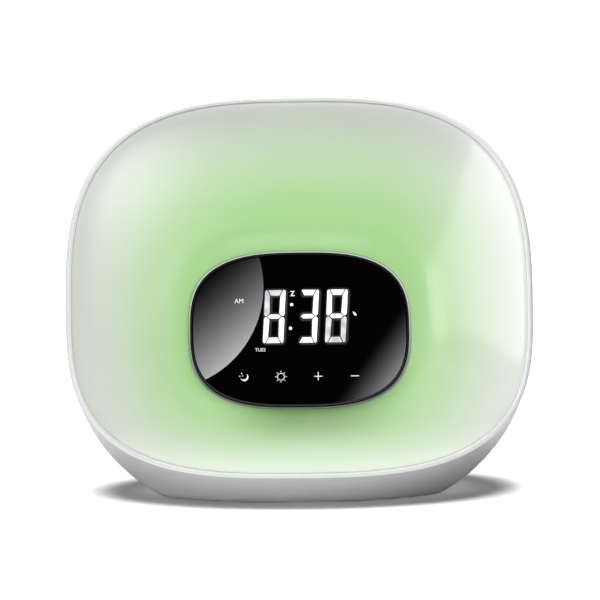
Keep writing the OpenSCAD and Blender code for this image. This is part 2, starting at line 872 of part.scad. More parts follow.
module speaker_cone() {
    t = 0.6;
    rim_z = 1 + cone_travel;
    neck_z = basket_depth - 2.6;
    coil_end = basket_depth + coil_reach;
    color("#2e2e30") on_speaker() rotate_extrude($fn = 64) polygon([
        [0, neck_z - 3.2], [4, neck_z - 2.4], [coil_r, neck_z], [cone_r - 2, rim_z],
        [cone_r - 1, rim_z - 0.7], [cone_r, rim_z], [cone_r, rim_z + t], [cone_r - 2, rim_z + t],
        [coil_r, neck_z + t], [coil_r, coil_end], [coil_r - coil_wall, coil_end],
        [coil_r - coil_wall, neck_z + t], [4, neck_z - 2.4 + t], [0, neck_z - 3.2 + t]]);
}

module speaker_magnet() {
    slot_depth = coil_reach + cone_travel + 1.7;
    color("#8a8d90") on_speaker() translate([0, 0, basket_depth]) difference() {
        cylinder(h = magnet_t, r = magnet_r);
        translate([0, 0, -1]) difference() {
            cylinder(h = slot_depth + 1, r = coil_r + coil_gap);
            translate([0, 0, -1]) cylinder(h = slot_depth + 3, r = coil_r - coil_wall - coil_gap);
        }
    }
}

// ---- fasteners ----

// Pan-head screw along -z, its head's underside at z = 0
module screw(length, r = screw_r, head = head_r) {
    color("#b8bcc0") difference() {
        union() {
            cylinder(h = head_t, r = head);
            translate([0, 0, -length]) cylinder(h = length + 0.1, r = r);
        }
        for (angle = [0, 90]) rotate(angle) translate([-head * 0.6, -0.25, head_t - 0.6])
            cube([head * 1.2, 0.5, 1]);
    }
}

module screw_y(x, z, y, length, to_back = true, r = screw_r, head = head_r) {
    translate([x, y, z]) rotate([to_back ? -90 : 90, 0, 0]) screw(length, r, head);
}

module cover_screws() {
    for (sx = [-1, 1], z = [rear_z + post_up, rear_z - post_down])
        screw_y(sx * post_x, z, rear_y - cover_head_in, cover_screw, true, screw_r, cover_head_r);
}

module board_screws() {
    for (sx = [-1, 1], z = [standoff_low, standoff_high])
        screw_y(sx * standoff_x, z, board_front, board_t + board_bite, false);
}

module speaker_screws() {
    for (angle = [45:90:315])
        screw_y(ear_r * cos(angle), speaker_z + ear_r * sin(angle),
            cover_in - gasket_t - speaker_t, gasket_t + speaker_t + ear_bite, false,
            ear_screw_r, ear_head_r);
}

module carrier_screws() {
    on_face() at_bosses(-pan_depth) rotate([180, 0, 0]) screw(pan_t + tray_bite);
}

module display_screws() {
    on_face() at_bosses(display_z) screw(board_t + tray_bite);
}

// ---- cables ----

// A point of the face frame in the clock's own frame
function face_point(p) =
    [p[0], face_y + p[1] * sin(lean) - p[2] * cos(lean), face_z + p[1] * cos(lean) + p[2] * sin(lean)];

module display_ribbon() {
    start = face_point([0, lens_v, display_z - board_t - ribbon_plug_t]);
    goal = [board_front - plug_depth, ribbon_plug_z];
    path = concat(bezier([[start[1], start[2]], [start[1] + 18, start[2] - 18 * tan(lean)],
        goal - [16, 0], goal - [stub, 0]], 16), [goal]);
    last = len(path) - 1;
    normals = [for (i = [0:last])
        let (d = path[min(i + 1, last)] - path[max(i - 1, 0)]) [-d[1], d[0]] / norm(d)];
    color("#c8ccd0") translate([-ribbon_w / 2, 0, 0]) rotate([90, 0, 90]) linear_extrude(ribbon_w)
        polygon(concat(
            [for (i = [0:last]) path[i] + normals[i] * ribbon_t / 2],
            [for (i = [last:-1:0]) path[i] - normals[i] * ribbon_t / 2]));
}

module led_cable() {
    start = face_point([wire_hole[0] - 9, wire_hole[1], pan_floor + board_t + 1]);
    through = face_point([wire_hole[0], wire_hole[1], -pan_depth - 3]);
    goal = [led_plug[0], board_front - plug_depth, led_plug[1]];
    end = goal - [0, stub, 0];
    color("#c03030") wire(concat(
        bezier([start, start + [6, -2, 0], through + [0, -8, 0], through], 8),
        [for (i = [1:10]) bezier([through, through + [0, 8, 0], end + [0, -12, 0], end], 10)[i]],
        [goal]), 1);
}

module speaker_cable() {
    start = [magnet_r, cover_in - gasket_t - basket_depth - 4, speaker_z - 4];
    goal = [speaker_plug[0], board_front - plug_depth, speaker_plug[1]];
    end = goal - [0, stub, 0];
    color("#303030")
        wire(concat(bezier([start, start + [8, 0, 0], end + [0, -14, 0], end], 12), [goal]), 0.8);
}

// ---- the clock ----

front_diffuser();
bezel_ring();
main_housing();
rear_cover();
rubber_feet();
display_lens();
lens_trim();
display_carrier();
light_seal();
display_board();
digit_module();
digit_segments();
touch_pads();
light_tray();
led_board();
led_chips();
main_board();
control_chips();
capacitors();
connectors();
switch_bodies();
for (i = [1:key_count]) {
    key(i);
    switch_stem(i);
}
dc_jack();
jack_pin();
battery_holder();
battery_contact();
coin_cell();
battery_door();
speaker_frame();
speaker_cone();
speaker_magnet();
speaker_gasket();
cover_screws();
board_screws();
speaker_screws();
carrier_screws();
display_screws();
display_ribbon();
led_cable();
speaker_cable();
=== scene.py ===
"""Sunrise alarm clock: the visible pieces, their finishes, the studio and the camera.

Sizes are in millimetres and become metres where a vertex is placed. The face frame has x to the
right, v up the leaning face and n out of it.
"""
from __future__ import annotations

import logging
import math
from dataclasses import dataclass, field
from enum import Enum
from typing import Any, Callable, Iterable, Sequence

import bmesh
import bpy
from mathutils import Matrix, Vector

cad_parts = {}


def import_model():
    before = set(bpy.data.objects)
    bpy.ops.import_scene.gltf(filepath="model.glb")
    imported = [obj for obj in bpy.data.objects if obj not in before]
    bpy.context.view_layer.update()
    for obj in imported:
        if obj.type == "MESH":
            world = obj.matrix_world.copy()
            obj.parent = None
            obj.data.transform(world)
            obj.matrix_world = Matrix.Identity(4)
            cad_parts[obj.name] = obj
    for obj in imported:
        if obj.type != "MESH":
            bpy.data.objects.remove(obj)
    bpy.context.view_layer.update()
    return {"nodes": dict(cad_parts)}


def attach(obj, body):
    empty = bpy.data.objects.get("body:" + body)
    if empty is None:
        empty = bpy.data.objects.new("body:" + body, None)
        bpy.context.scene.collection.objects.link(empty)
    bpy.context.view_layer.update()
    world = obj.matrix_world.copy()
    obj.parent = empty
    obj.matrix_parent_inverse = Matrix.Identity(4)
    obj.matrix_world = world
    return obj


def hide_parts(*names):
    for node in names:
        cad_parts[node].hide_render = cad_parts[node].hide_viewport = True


LOG = logging.getLogger("sunrise_clock")
MM = 0.001
ROOT = "clock"
SHELL_SHARP = 50.0

Point = tuple[float, float]
Socket = bpy.types.NodeSocket
Section = Callable[[float], Vector]


# ---- outlines and frames ----

def polar(reach: float, angle: float, middle: Point = (0.0, 0.0)) -> Point:
    """The point at a distance and a direction from a middle."""
    return middle[0] + reach * math.cos(angle), middle[1] + reach * math.sin(angle)


def arc(middle: Point, reach: Point, start: float, end: float, steps: int) -> list[Point]:
    """Points along an upright oval.

    Args:
        middle: its middle.
        reach: its radius across and along, which may be negative.
        start: the first point's direction in radians.
        end: the last point's direction.
        steps: the number of steps from the first to the last.

    Returns:
        The points.
    """
    turns = (start + (end - start) * i / steps for i in range(steps + 1))
    return [(middle[0] + reach[0] * math.cos(turn), middle[1] + reach[1] * math.sin(turn))
            for turn in turns]


def turned(points: Iterable[Point], turn: float, middle: Point) -> list[Point]:
    """Turns points about the origin, then moves them to a middle."""
    cos, sin = math.cos(turn), math.sin(turn)
    return [(middle[0] + x * cos - v * sin, middle[1] + x * sin + v * cos) for x, v in points]


@dataclass(frozen=True)
class Oval:
    """A rounded outline with its own height above and below its middle."""

    half_width: float
    up: float
    down: float
    power: float
    middle: float = 0.0

    def radius(self, angle: float) -> float:
        """Distance from the middle to the outline.

        Args:
            angle: direction in radians, 0 to the right.

        Returns:
            The distance in millimetres.
        """
        height = self.up if math.sin(angle) >= 0 else self.down
        across = abs(math.cos(angle)) / self.half_width
        along = abs(math.sin(angle)) / height
        return (across ** self.power + along ** self.power) ** (-1 / self.power)

    def point(self, angle: float) -> Point:
        """The outline's point in a direction."""
        return polar(self.radius(angle), angle, (0.0, self.middle))

    def shrunk(self, inset: float) -> Oval:
        """The same outline drawn in by an inset."""
        return Oval(self.half_width - inset, self.up - inset, self.down - inset, self.power,
                    self.middle)

    def share(self, x: float, v: float) -> float:
        """How far out a point lies: 0 in the middle, 1 on the outline.

        Args:
            x: the point's x.
            v: the point's v.

        Returns:
            The share.
        """
        height = self.up if v >= self.middle else self.down
        across = abs(x) / self.half_width
        along = abs(v - self.middle) / height
        return (across ** self.power + along ** self.power) ** (1 / self.power)


@dataclass(frozen=True)
class FaceFrame:
    """The leaning plane that the front pieces are measured from."""

    y: float = -27.0
    z: float = 80.5
    lean: float = math.radians(10)

    def place(self, x: float, v: float, n: float) -> Vector:
        """A point of the face frame in the clock's own frame, in metres."""
        sin, cos = math.sin(self.lean), math.cos(self.lean)
        return MM * Vector((x, self.y + v * sin - n * cos, self.z + v * cos + n * sin))

    def stand(self, x: float, v: float, n: float, turn: float = 0.0) -> Matrix:
        """Places an object on a point of the face frame, square to the face and turned on it."""
        upright = Matrix.Rotation(math.pi / 2 - self.lean, 4, "X")
        return Matrix.Translation(self.place(x, v, n)) @ upright @ Matrix.Rotation(turn, 4, "Z")


@dataclass(frozen=True)
class FrontSizes:
    """Sizes that more than one of the front pieces needs."""

    face: FaceFrame = FaceFrame()
    ring: Oval = Oval(95, 87.8, 67.9, 3)
    ring_band: float = 2.4
    ring_front: float = 2.8
    ring_back: float = 1.5
    lens: Oval = Oval(45, 32, 32, 2.9, -7.2)
    lens_front: float = 14.0
    lens_thick: float = 1.8
    trim_width: float = 0.7

    @property
    def lens_back(self) -> float:
        """Where the display panel's back lies."""
        return self.lens_front - self.lens_thick


FRONT = FrontSizes()


@dataclass(frozen=True)
class DigitSizes:
    """Sizes of the digits, which the panel's halo shares."""

    height: float = 21.4
    width: float = 8.3
    bar: float = 2.2
    slant: float = math.radians(3.3)
    v: float = -1.7
    shown: tuple[tuple[str, float], ...] = (("8", -10.2), ("3", 3.3), ("8", 15.0))


DIGITS = DigitSizes()


def smooth_step(value: float) -> float:
    """Eases a value between 0 and 1."""
    held = min(1.0, max(0.0, value))
    return held * held * (3 - 2 * held)


def smooth_min(first: float, second: float, width: float) -> float:
    """The lesser of two values, with a rounded change from one to the other.

    Args:
        first: one value.
        second: the other.
        width: how far apart they are where the rounding ends.

    Returns:
        The rounded minimum.
    """
    if width <= 0:
        return min(first, second)
    near = max(width - abs(first - second), 0) / width
    return min(first, second) - near * near * width / 4


def smooth_max(first: float, second: float, width: float) -> float:
    """The greater of two values, with a rounded change from one to the other."""
    return -smooth_min(-first, -second, width)


# ---- meshes ----

def loft(sections: Sequence[Section], segments: int, closed: bool) -> bmesh.types.BMesh:
    """Draws a skin through a row of loops.

    Args:
        sections: each gives a loop's point for an angle.
        segments: points in a loop.
        closed: True joins the last loop to the first, False fills both ends.

    Returns:
        The skin, with its faces outwards.
    """
    skin = bmesh.new()
    angle = skin.verts.layers.float.new("angle")
    for vert in bmesh.ops.create_circle(skin, segments=segments, radius=1.0)["verts"]:
        vert[angle] = math.atan2(vert.co.y, vert.co.x)
        vert.co = sections[0](vert[angle])
    start = edges = skin.edges[:]
    for section in sections[1:]:
        grown = bmesh.ops.extrude_edge_only(skin, edges=edges)["geom"]
        edges = [part for part in grown if isinstance(part, bmesh.types.BMEdge)]
        for vert in (part for part in grown if isinstance(part, bmesh.types.BMVert)):
            vert.co = section(vert[angle])
    if closed:
        bmesh.ops.bridge_loops(skin, edges=start + edges)
    else:
        bmesh.ops.edgeloop_fill(skin, edges=start)
        bmesh.ops.edgeloop_fill(skin, edges=edges)
    bmesh.ops.recalc_face_normals(skin, faces=skin.faces[:])
    return skin


def face_section(outline: Oval, depth: float | Callable[[float, float], float]) -> Section:
    """A loop that follows an outline in the face frame.

    Args:
        outline: the loop's outline.
        depth: its n, or a function that gives n at x and v.

    Returns:
        The loop's section.
    """
    def at(angle: float) -> Vector:
        """The loop's point at an angle."""
        x, v = outline.point(angle)
        return FRONT.face.place(x, v, depth(x, v) if callable(depth) else depth)
    return at


def plate(shape: bmesh.types.BMesh, points: Sequence[Point], low: float, high: float) -> None:
    """Adds a thin flat plate to a mesh that is drawn in the face frame.

    Args:
        shape: the mesh, in millimetres.
        points: the plate's outline as x and v.
        low: n of its underside.
        high: n of its top.
    """
    outline = shape.faces.new([shape.verts.new((x, v, low)) for x, v in points])
    grown = bmesh.ops.extrude_face_region(shape, geom=[outline])["geom"]
    lifted = [part for part in grown if isinstance(part, bmesh.types.BMVert)]
    bmesh.ops.translate(shape, vec=(0, 0, high - low), verts=lifted)


def to_object(shape: bmesh.types.BMesh, name: str, sharp: float = 35.0) -> bpy.types.Object:
    """Makes an object of a finished mesh.

    Args:
        shape: the mesh, which is freed.
        name: the piece's name.
        sharp: the angle in degrees past which an edge stays sharp.

    Returns:
        The object, at the origin.
    """
    mesh = bpy.data.meshes.new(name)
    shape.to_mesh(mesh)
    shape.free()
    mesh.shade_smooth()
    mesh.set_sharp_from_angle(angle=math.radians(sharp))
    piece = bpy.data.objects.new(name, mesh)
    bpy.context.scene.collection.objects.link(piece)
    return piece


# ---- node trees ----

class Graph:
    """Adds nodes to a tree and links them."""

    def __init__(self, tree: bpy.types.NodeTree) -> None:
        """Holds the node tree of a material, a world, a lamp or a group."""
        self.tree = tree

    def node(self, kind: str, inputs: dict[Any, Any] | None = None, **settings: Any) -> Any:
        """Adds a node.

        Args:
            kind: the node's type.
            inputs: sockets, by name or number, with a value or an output to link.
            settings: the node's own properties.

        Returns:
            The node.
        """
        made = self.tree.nodes.new(kind)
        for key, value in settings.items():
            setattr(made, key, value)
        for key, value in (inputs or {}).items():
            self.feed(made.inputs[key], value)
        return made

    def feed(self, socket: Socket, value: Any) -> None:
        """Links an output to a socket, or sets the socket's value.

        Args:
            socket: the input.
            value: an output socket, a number or a colour.
        """
        if isinstance(value, Socket):
            self.tree.links.new(value, socket)
        else:
            socket.default_value = value

    def math(self, operation: str, *values: Any, clamp: bool = False) -> Socket:
        """Adds a Math node, which clamp keeps between 0 and 1, and gives its output."""
        return self.node("ShaderNodeMath", dict(enumerate(values)), operation=operation,
                         use_clamp=clamp).outputs[0]

    def ease(self, value: Any, low: float, high: float, start: float = 0.0,
             end: float = 1.0) -> Socket:
        """Maps a value smoothly from the range low to high to the range start to end."""
        return self.node("ShaderNodeMapRange", {0: value, 1: low, 2: high, 3: start, 4: end},
                         interpolation_type="SMOOTHSTEP").outputs[0]

    def between(self, share: Any, first: float, second: float) -> Socket:
        """Goes straight from the first value to the second as the share goes from 0 to 1."""
        return self.math("MULTIPLY_ADD", share, second - first, first)

    def noise(self, where: Any, scale: Any, detail: float = 2.0) -> Socket:
        """Adds a Noise Texture at some coordinates and gives its value."""
        return self.node("ShaderNodeTexNoise",
                         {"Vector": where, "Scale": scale, "Detail": detail}).outputs[0]

    def bump(self, height: Socket, strength: float, distance: float = 0.0001) -> Socket:
        """Adds a Bump node and gives the normal."""
        return self.node("ShaderNodeBump", {"Height": height, "Strength": strength,
                                            "Distance": distance}).outputs[0]

    def length(self, first: Any, second: Any) -> Socket:
        """The length of a pair of values."""
        squares = (self.math("MULTIPLY", part, part) for part in (first, second))
        return self.math("SQRT", self.math("ADD", *squares))

    def blend(self, factor: Any, first: Any, second: Any, mode: str = "MIX") -> Socket:
        """Mixes two colours, of which a factor of 0 gives the first, and gives the result."""
        return self.node("ShaderNodeMix", {"Factor": factor, 6: first, 7: second},
                         data_type="RGBA", blend_type=mode).outputs[2]

    def place(self, offset: Sequence[float] = (0, 0, 0),
              turn: Sequence[float] = (0, 0, 0)) -> Socket:
        """Object coordinates, moved and then turned.

        Args:
            offset: the point in metres that becomes the origin.
            turn: the turn that follows, in radians.

        Returns:
            The coordinates.
        """
        where = self.node("ShaderNodeTexCoord").outputs["Object"]
        if any(offset):
            where = self.node("ShaderNodeVectorMath", {0: where, 1: offset},
                              operation="SUBTRACT").outputs[0]
        if any(turn):
            where = self.node("ShaderNodeVectorRotate", {"Vector": where, "Rotation": turn},
                              rotation_type="EULER_XYZ").outputs[0]
        return where

    def face_place(self) -> tuple[Socket, Socket, Socket]:
        """Object coordinates in the face frame, then their x and v by themselves."""
        where = self.place((0, FRONT.face.y * MM, FRONT.face.z * MM),
                           (FRONT.face.lean - math.pi / 2, 0, 0))
        return where, *self.node("ShaderNodeSeparateXYZ", {0: where}).outputs[:2]


def linear(code: str) -> tuple[float, float, float, float]:
    """A colour for a shader socket.

    Args:
        code: the colour as it looks on a screen, as six hexadecimal digits.

    Returns:
        Its linear red, green, blue and an alpha of 1.
    """
    parts = [int(code[i:i + 2], 16) / 255 for i in (0, 2, 4)]
    flat = [p / 12.92 if p <= 0.04045 else ((p + 0.055) / 1.055) ** 2.4 for p in parts]
    return flat[0], flat[1], flat[2], 1.0


def new_group(name: str, inputs: dict[str, tuple[str, Any]],
              outputs: dict[str, str]) -> tuple[bpy.types.NodeTree, Graph, Any, Any]:
    """Starts a shader node group.

    Args:
        name: the group's name.
        inputs: socket names with their kind and default value.
        outputs: socket names with their kind.

    Returns:
        The group, its graph, and its input and output nodes.
    """
    tree = bpy.data.node_groups.new(name, "ShaderNodeTree")
    for label, (kind, value) in inputs.items():
        tree.interface.new_socket(label, in_out="INPUT", socket_type=kind).default_value = value
    for label, kind in outputs.items():
        tree.interface.new_socket(label, in_out="OUTPUT", socket_type=kind)
    graph = Graph(tree)
    return tree, graph, graph.node("NodeGroupInput"), graph.node("NodeGroupOutput")


FLOAT = "NodeSocketFloat"
COLOUR = "NodeSocketColor"

# The part of a noise's range over which a pattern turns from one colour to the other.
WIDE_PATCH: Point = (0.3, 0.7)
CLOSE_PATCH: Point = (0.35, 0.65)


def moulded_grain() -> bpy.types.NodeTree:
    """The fine grain, mottling and uneven gloss of a moulded, painted or printed surface.

    Returns:
        A group with outputs Colour, Roughness and Height.
    """
    found = bpy.data.node_groups.get("moulded_grain")
    if found:
        return found
    tree, graph, given, result = new_group(
        "moulded_grain",
        {"Colour": (COLOUR, (0.8, 0.8, 0.8, 1)), "Shade": (COLOUR, (0.7, 0.7, 0.7, 1)),
         "Scale": (FLOAT, 2500.0), "Mottle": (FLOAT, 30.0), "Roughness": (FLOAT, 0.4),
         "Uneven": (FLOAT, 0.05)},
        {"Colour": COLOUR, "Roughness": FLOAT, "Height": FLOAT})
    where = graph.place()
    patch = graph.ease(graph.noise(where, given.outputs["Mottle"], detail=3.0), *WIDE_PATCH)
    graph.feed(result.inputs["Colour"],
               graph.blend(patch, given.outputs["Colour"], given.outputs["Shade"]))
    swing = graph.math("MULTIPLY", graph.math("SUBTRACT", patch, 0.5), given.outputs["Uneven"])
    graph.feed(result.inputs["Roughness"],
               graph.math("ADD", given.outputs["Roughness"], swing, clamp=True))
    graph.feed(result.inputs["Height"], graph.noise(where, given.outputs["Scale"]))
    return tree


def turned_lines() -> bpy.types.NodeTree:
    """The fine grain of plated, turned or drawn metal.

    Returns:
        A group with outputs Mask and Height.
    """
    found = bpy.data.node_groups.get("turned_lines")
    if found:
        return found
    tree, graph, given, result = new_group(
        "turned_lines", {"Pitch": (FLOAT, 3000.0)}, {"Mask": FLOAT, "Height": FLOAT})
    lines = graph.noise(graph.place(), given.outputs["Pitch"], detail=1.0)
    graph.feed(result.inputs["Height"], lines)
    graph.feed(result.inputs["Mask"], graph.ease(lines, *CLOSE_PATCH))
    return tree


def digit_glow() -> bpy.types.NodeTree:
    """The faint glow round a lit digit, by the distance from the nearest bar.

    Returns:
        A group with the output Strength. Its X and V are measured from the digit's middle.
    """
    found = bpy.data.node_groups.get("digit_glow")
    if found:
        return found
    tree, graph, given, result = new_group(
        "digit_glow", {"X": (FLOAT, 0.0), "V": (FLOAT, 0.0), "Open Left": (FLOAT, 0.0),
                       "Reach": (FLOAT, 0.001)}, {"Strength": FLOAT})
    x, v = given.outputs["X"], given.outputs["V"]
    taper, falloff = 0.35, 1.6
    width, height, bar = (size * MM / 2 for size in (DIGITS.width, DIGITS.height, DIGITS.bar))
    across, along = graph.math("ABSOLUTE", x), graph.math("ABSOLUTE", v)
    side = graph.node("ShaderNodeMix", {"Factor": given.outputs["Open Left"], 2: across, 3: x})
    upright = graph.length(
        graph.math("SUBTRACT", side.outputs[0], width - bar),
        graph.math("MAXIMUM", graph.math("SUBTRACT", along, height - bar), 0.0))
    left = graph.math("MAXIMUM", graph.math("MULTIPLY", x, -taper), 0.0)
    across = graph.math("MULTIPLY_ADD", left, given.outputs["Open Left"], across)
    end = graph.math("ABSOLUTE", graph.math("SUBTRACT", along, height - bar))
    level = graph.length(
        graph.math("MINIMUM", along, end),
        graph.math("MAXIMUM", graph.math("SUBTRACT", across, width - bar), 0.0))
    away = graph.math("SUBTRACT", graph.math("MINIMUM", upright, level), bar)
    near = graph.math("SUBTRACT", 1.0, graph.math("DIVIDE", away, given.outputs["Reach"]),
                      clamp=True)
    graph.feed(result.inputs["Strength"], graph.math(
        "MULTIPLY", graph.math("POWER", near, falloff), graph.math("GREATER_THAN", away, 0.0)))
    return tree


class Finish:
    """What every finish shares: a named material that is built once."""

    name: str

    def material(self) -> bpy.types.Material:
        """The finish's material, made the first time that it is asked for.

        Returns:
            The material.
        """
        found = bpy.data.materials.get(f"clock_{self.name}")
        if found:
            return found
        made = bpy.data.materials.new(f"clock_{self.name}")
        made.use_nodes = True
        made.node_tree.nodes.clear()
        graph = Graph(made.node_tree)
        shader = graph.node("ShaderNodeBsdfPrincipled")
        output = graph.node("ShaderNodeOutputMaterial")
        graph.feed(output.inputs["Surface"], shader.outputs[0])
        self.paint(graph, shader)
        return made

    def paint(self, graph: Graph, shader: Any) -> None:
        """Sets up the material's Principled BSDF and the nodes that feed it."""
        raise NotImplementedError


@dataclass(frozen=True)
class Plastic(Finish):
    """Moulded plastic, paint, rubber, card or resin, with its grain."""

    name: str
    colour: str
    shade: str
    roughness: float = 0.4
    grain: float = 0.06
    grain_scale: float = 2500.0
    mottle: float = 30.0
    uneven: float = 0.06
    coat: float = 0.0
    coat_roughness: float = 0.06
    glow: float = 0.0

    def paint(self, graph: Graph, shader: Any) -> None:
        """Feeds the shared grain to the shader.

        Args:
            graph: the material's nodes.
            shader: its Principled BSDF.
        """
        grain = graph.node("ShaderNodeGroup", {
            "Colour": linear(self.colour), "Shade": linear(self.shade), "Scale": self.grain_scale,
            "Mottle": self.mottle, "Roughness": self.roughness, "Uneven": self.uneven},
            node_tree=moulded_grain())
        graph.feed(shader.inputs["Base Color"], grain.outputs["Colour"])
        graph.feed(shader.inputs["Roughness"], grain.outputs["Roughness"])
        graph.feed(shader.inputs["Normal"], graph.bump(grain.outputs["Height"], self.grain))
        if self.coat:
            shader.inputs["Coat Weight"].default_value = self.coat
            shader.inputs["Coat Roughness"].default_value = self.coat_roughness
        if self.glow:
            graph.feed(shader.inputs["Emission Color"], grain.outputs["Colour"])
            shader.inputs["Emission Strength"].default_value = self.glow


@dataclass(frozen=True)
class Metal(Finish):
    """Bare or plated metal with fine tool marks."""

    name: str
    colour: str
    shade: str
    roughness: float = 0.25
    pitch: float = 3000.0
    mark_depth: float = 0.00005
    mark_strength: float = 0.08
    uneven: float = 0.08

    def paint(self, graph: Graph, shader: Any) -> None:
        """Feeds the tool marks to the shader.

        Args:
            graph: the material's nodes.
            shader: its Principled BSDF.
        """
        lines = graph.node("ShaderNodeGroup", {"Pitch": self.pitch}, node_tree=turned_lines())
        graph.feed(shader.inputs["Base Color"],
                   graph.blend(lines.outputs["Mask"], linear(self.colour), linear(self.shade)))
        graph.feed(shader.inputs["Roughness"],
                   graph.math("MULTIPLY_ADD", lines.outputs["Mask"], self.uneven, self.roughness))
        graph.feed(shader.inputs["Normal"],
                   graph.bump(lines.outputs["Height"], self.mark_strength, self.mark_depth))
        shader.inputs["Metallic"].default_value = 1.0


@dataclass(frozen=True)
class TrimMetal(Metal):
    """The panel's plated trim, bright above, with painted shade that darkens it towards its lower
    side.
    """

    # The colour of the painted shade on the trim's lower side, and the heights over which it fades
    # into the plating.
    low: str = "7C7D81"
    painted_shade_low_z: float = 0.048
    painted_shade_high_z: float = 0.088

    def paint(self, graph: Graph, shader: Any) -> None:
        """Blends the bright plating into the painted shade of the lower side.

        Args:
            graph: the material's nodes.
            shader: its Principled BSDF.
        """
        super().paint(graph, shader)
        bright = shader.inputs["Base Color"].links[0].from_socket
        # Painted shade: the trim turns darker towards the bottom, by height.
        height = graph.node("ShaderNodeSeparateXYZ", {0: graph.place()}).outputs[2]
        graph.feed(shader.inputs["Base Color"], graph.blend(
            graph.ease(height, self.painted_shade_low_z, self.painted_shade_high_z), linear(self.low), bright))


@dataclass(frozen=True)
class Opal(Finish):
    """The frosted diffuser: green where the lamps behind it are near, pale towards its rim, with
    painted shade over its top and under the display panel and painted light from the floor along
    its lower edge.
    """

    name: str = "diffuser_opal"
    core: str = "A8D88F"
    rim: str = "DEE0DC"
    # The colour of the dome's top, darker than its rim as painted shade.
    painted_shade_crown: str = "B4B7B3"
    # The colour of the dome's lower edge, brighter than its rim as painted light and a painted
    # reflection from the floor.
    foot: str = "F8FDF3"
    # The colour that the painted shade under the display panel multiplies in.
    shade: str = "9AAC81"
    haze: str = "D4EBC8"
    haze_share: float = 0.1
    haze_scale: float = 22.0
    frost: float = 0.02
    frost_scale: float = 4000.0
    glow: float = 0.087
    roughness: float = 0.32
    coat_ior: float = 1.6
    coat_roughness: float = 0.1
    lower: Point = (0.45, 1.0)
    lamp_start: Point = (0.44, 0.6)
    lamp_span: Point = (0.58, 0.48)
    painted_light_foot_range: Point = (0.62, 0.98)
    painted_shade_crown_range: Point = (0.5, 1.0)
    shade_reach: float = 1.55
    shade_aside: float = 5.0
    shade_sides: Point = (4.0, 48.0)
    shade_tilt: float = -0.6
    shade_under: Point = (-0.5, 0.3)

    def painted_panel_shade(self, graph: Graph, x: Any, v: Any) -> Socket:
        """Painted shade under and to the right of the display panel, standing in for the panel's
        shadow and for the black carrier behind it blocking the lamps.

        Args:
            graph: the material's nodes.
            x: the face's x.
            v: the face's v.

        Returns:
            How far the colour is darkened.
        """
        lens = FRONT.lens
        across = graph.math("DIVIDE", x, lens.half_width * MM)
        along = graph.math("DIVIDE", graph.math("SUBTRACT", v, lens.middle * MM), lens.up * MM)
        sides = [graph.math("POWER", graph.math("ABSOLUTE", part), lens.power)
                 for part in (across, along)]
        share = graph.math("POWER", graph.math("ADD", *sides), 1 / lens.power)
        ring = graph.ease(share, 1.0, self.shade_reach, 1.0, 0.0)
        aside = graph.math("ABSOLUTE", graph.math("SUBTRACT", x, self.shade_aside * MM))
        middle = graph.ease(aside, *(side * MM for side in self.shade_sides), 1.0, 0.0)
        tilted = graph.math("MULTIPLY_ADD", x, self.shade_tilt / (lens.half_width * MM), along)
        under = graph.ease(tilted, *self.shade_under, 1.0, 0.0)
        return graph.math("MULTIPLY", ring, graph.math("MULTIPLY", middle, under))

    def paint(self, graph: Graph, shader: Any) -> None:
        """Lays the lamp's colour over the face by the distance from its middle.

        Args:
            graph: the material's nodes.
            shader: its Principled BSDF.
        """
        ring, nearly_none = FRONT.ring, 0.001
        where, x, v = graph.face_place()
        across = graph.math("POWER", graph.math("DIVIDE", graph.math("ABSOLUTE", x),
                                                ring.half_width * MM), ring.power)
        above = graph.math("DIVIDE", graph.math("MAXIMUM", v, 0.0), ring.up * MM)
        below = graph.math("DIVIDE", graph.math("MINIMUM", v, 0.0), -ring.down * MM)
        along = graph.math("POWER", graph.math("ADD", above, below), ring.power)
        share = graph.math("POWER", graph.math("ADD", across, along), 1 / ring.power)
        down = graph.ease(
            graph.math("DIVIDE", below, graph.math("ADD", share, nearly_none)), *self.lower)
        past = graph.math("SUBTRACT", share, graph.between(down, *self.lamp_start))
        lamp = graph.ease(graph.math("DIVIDE", past, graph.between(down, *self.lamp_span)),
                          0.0, 1.0, 1.0, 0.0)
        # The pale rim, with painted shade over the dome's top.
        pale = graph.blend(graph.ease(above, *self.painted_shade_crown_range), linear(self.rim),
                           linear(self.painted_shade_crown))
        # Painted light and reflection from the floor along the dome's lower edge.
        pale = graph.blend(graph.ease(below, *self.painted_light_foot_range), pale, linear(self.foot))
        colour = graph.blend(lamp, pale, linear(self.core))
        # Painted shade under the display panel.
        colour = graph.blend(self.painted_panel_shade(graph, x, v), colour, linear(self.shade),
                             "MULTIPLY")
        cloud = graph.ease(graph.noise(where, self.haze_scale), *WIDE_PATCH, 0.0, self.haze_share)
        colour = graph.blend(cloud, colour, linear(self.haze))
        graph.feed(shader.inputs["Base Color"], colour)
        graph.feed(shader.inputs["Emission Color"], colour)
        graph.feed(shader.inputs["Normal"],
                   graph.bump(graph.noise(where, self.frost_scale), self.frost))
        shader.inputs["Emission Strength"].default_value = self.glow
        shader.inputs["Roughness"].default_value = self.roughness
        shader.inputs["Coat Weight"].default_value = 1.0
        shader.inputs["Coat Roughness"].default_value = self.coat_roughness
        shader.inputs["Coat IOR"].default_value = self.coat_ior


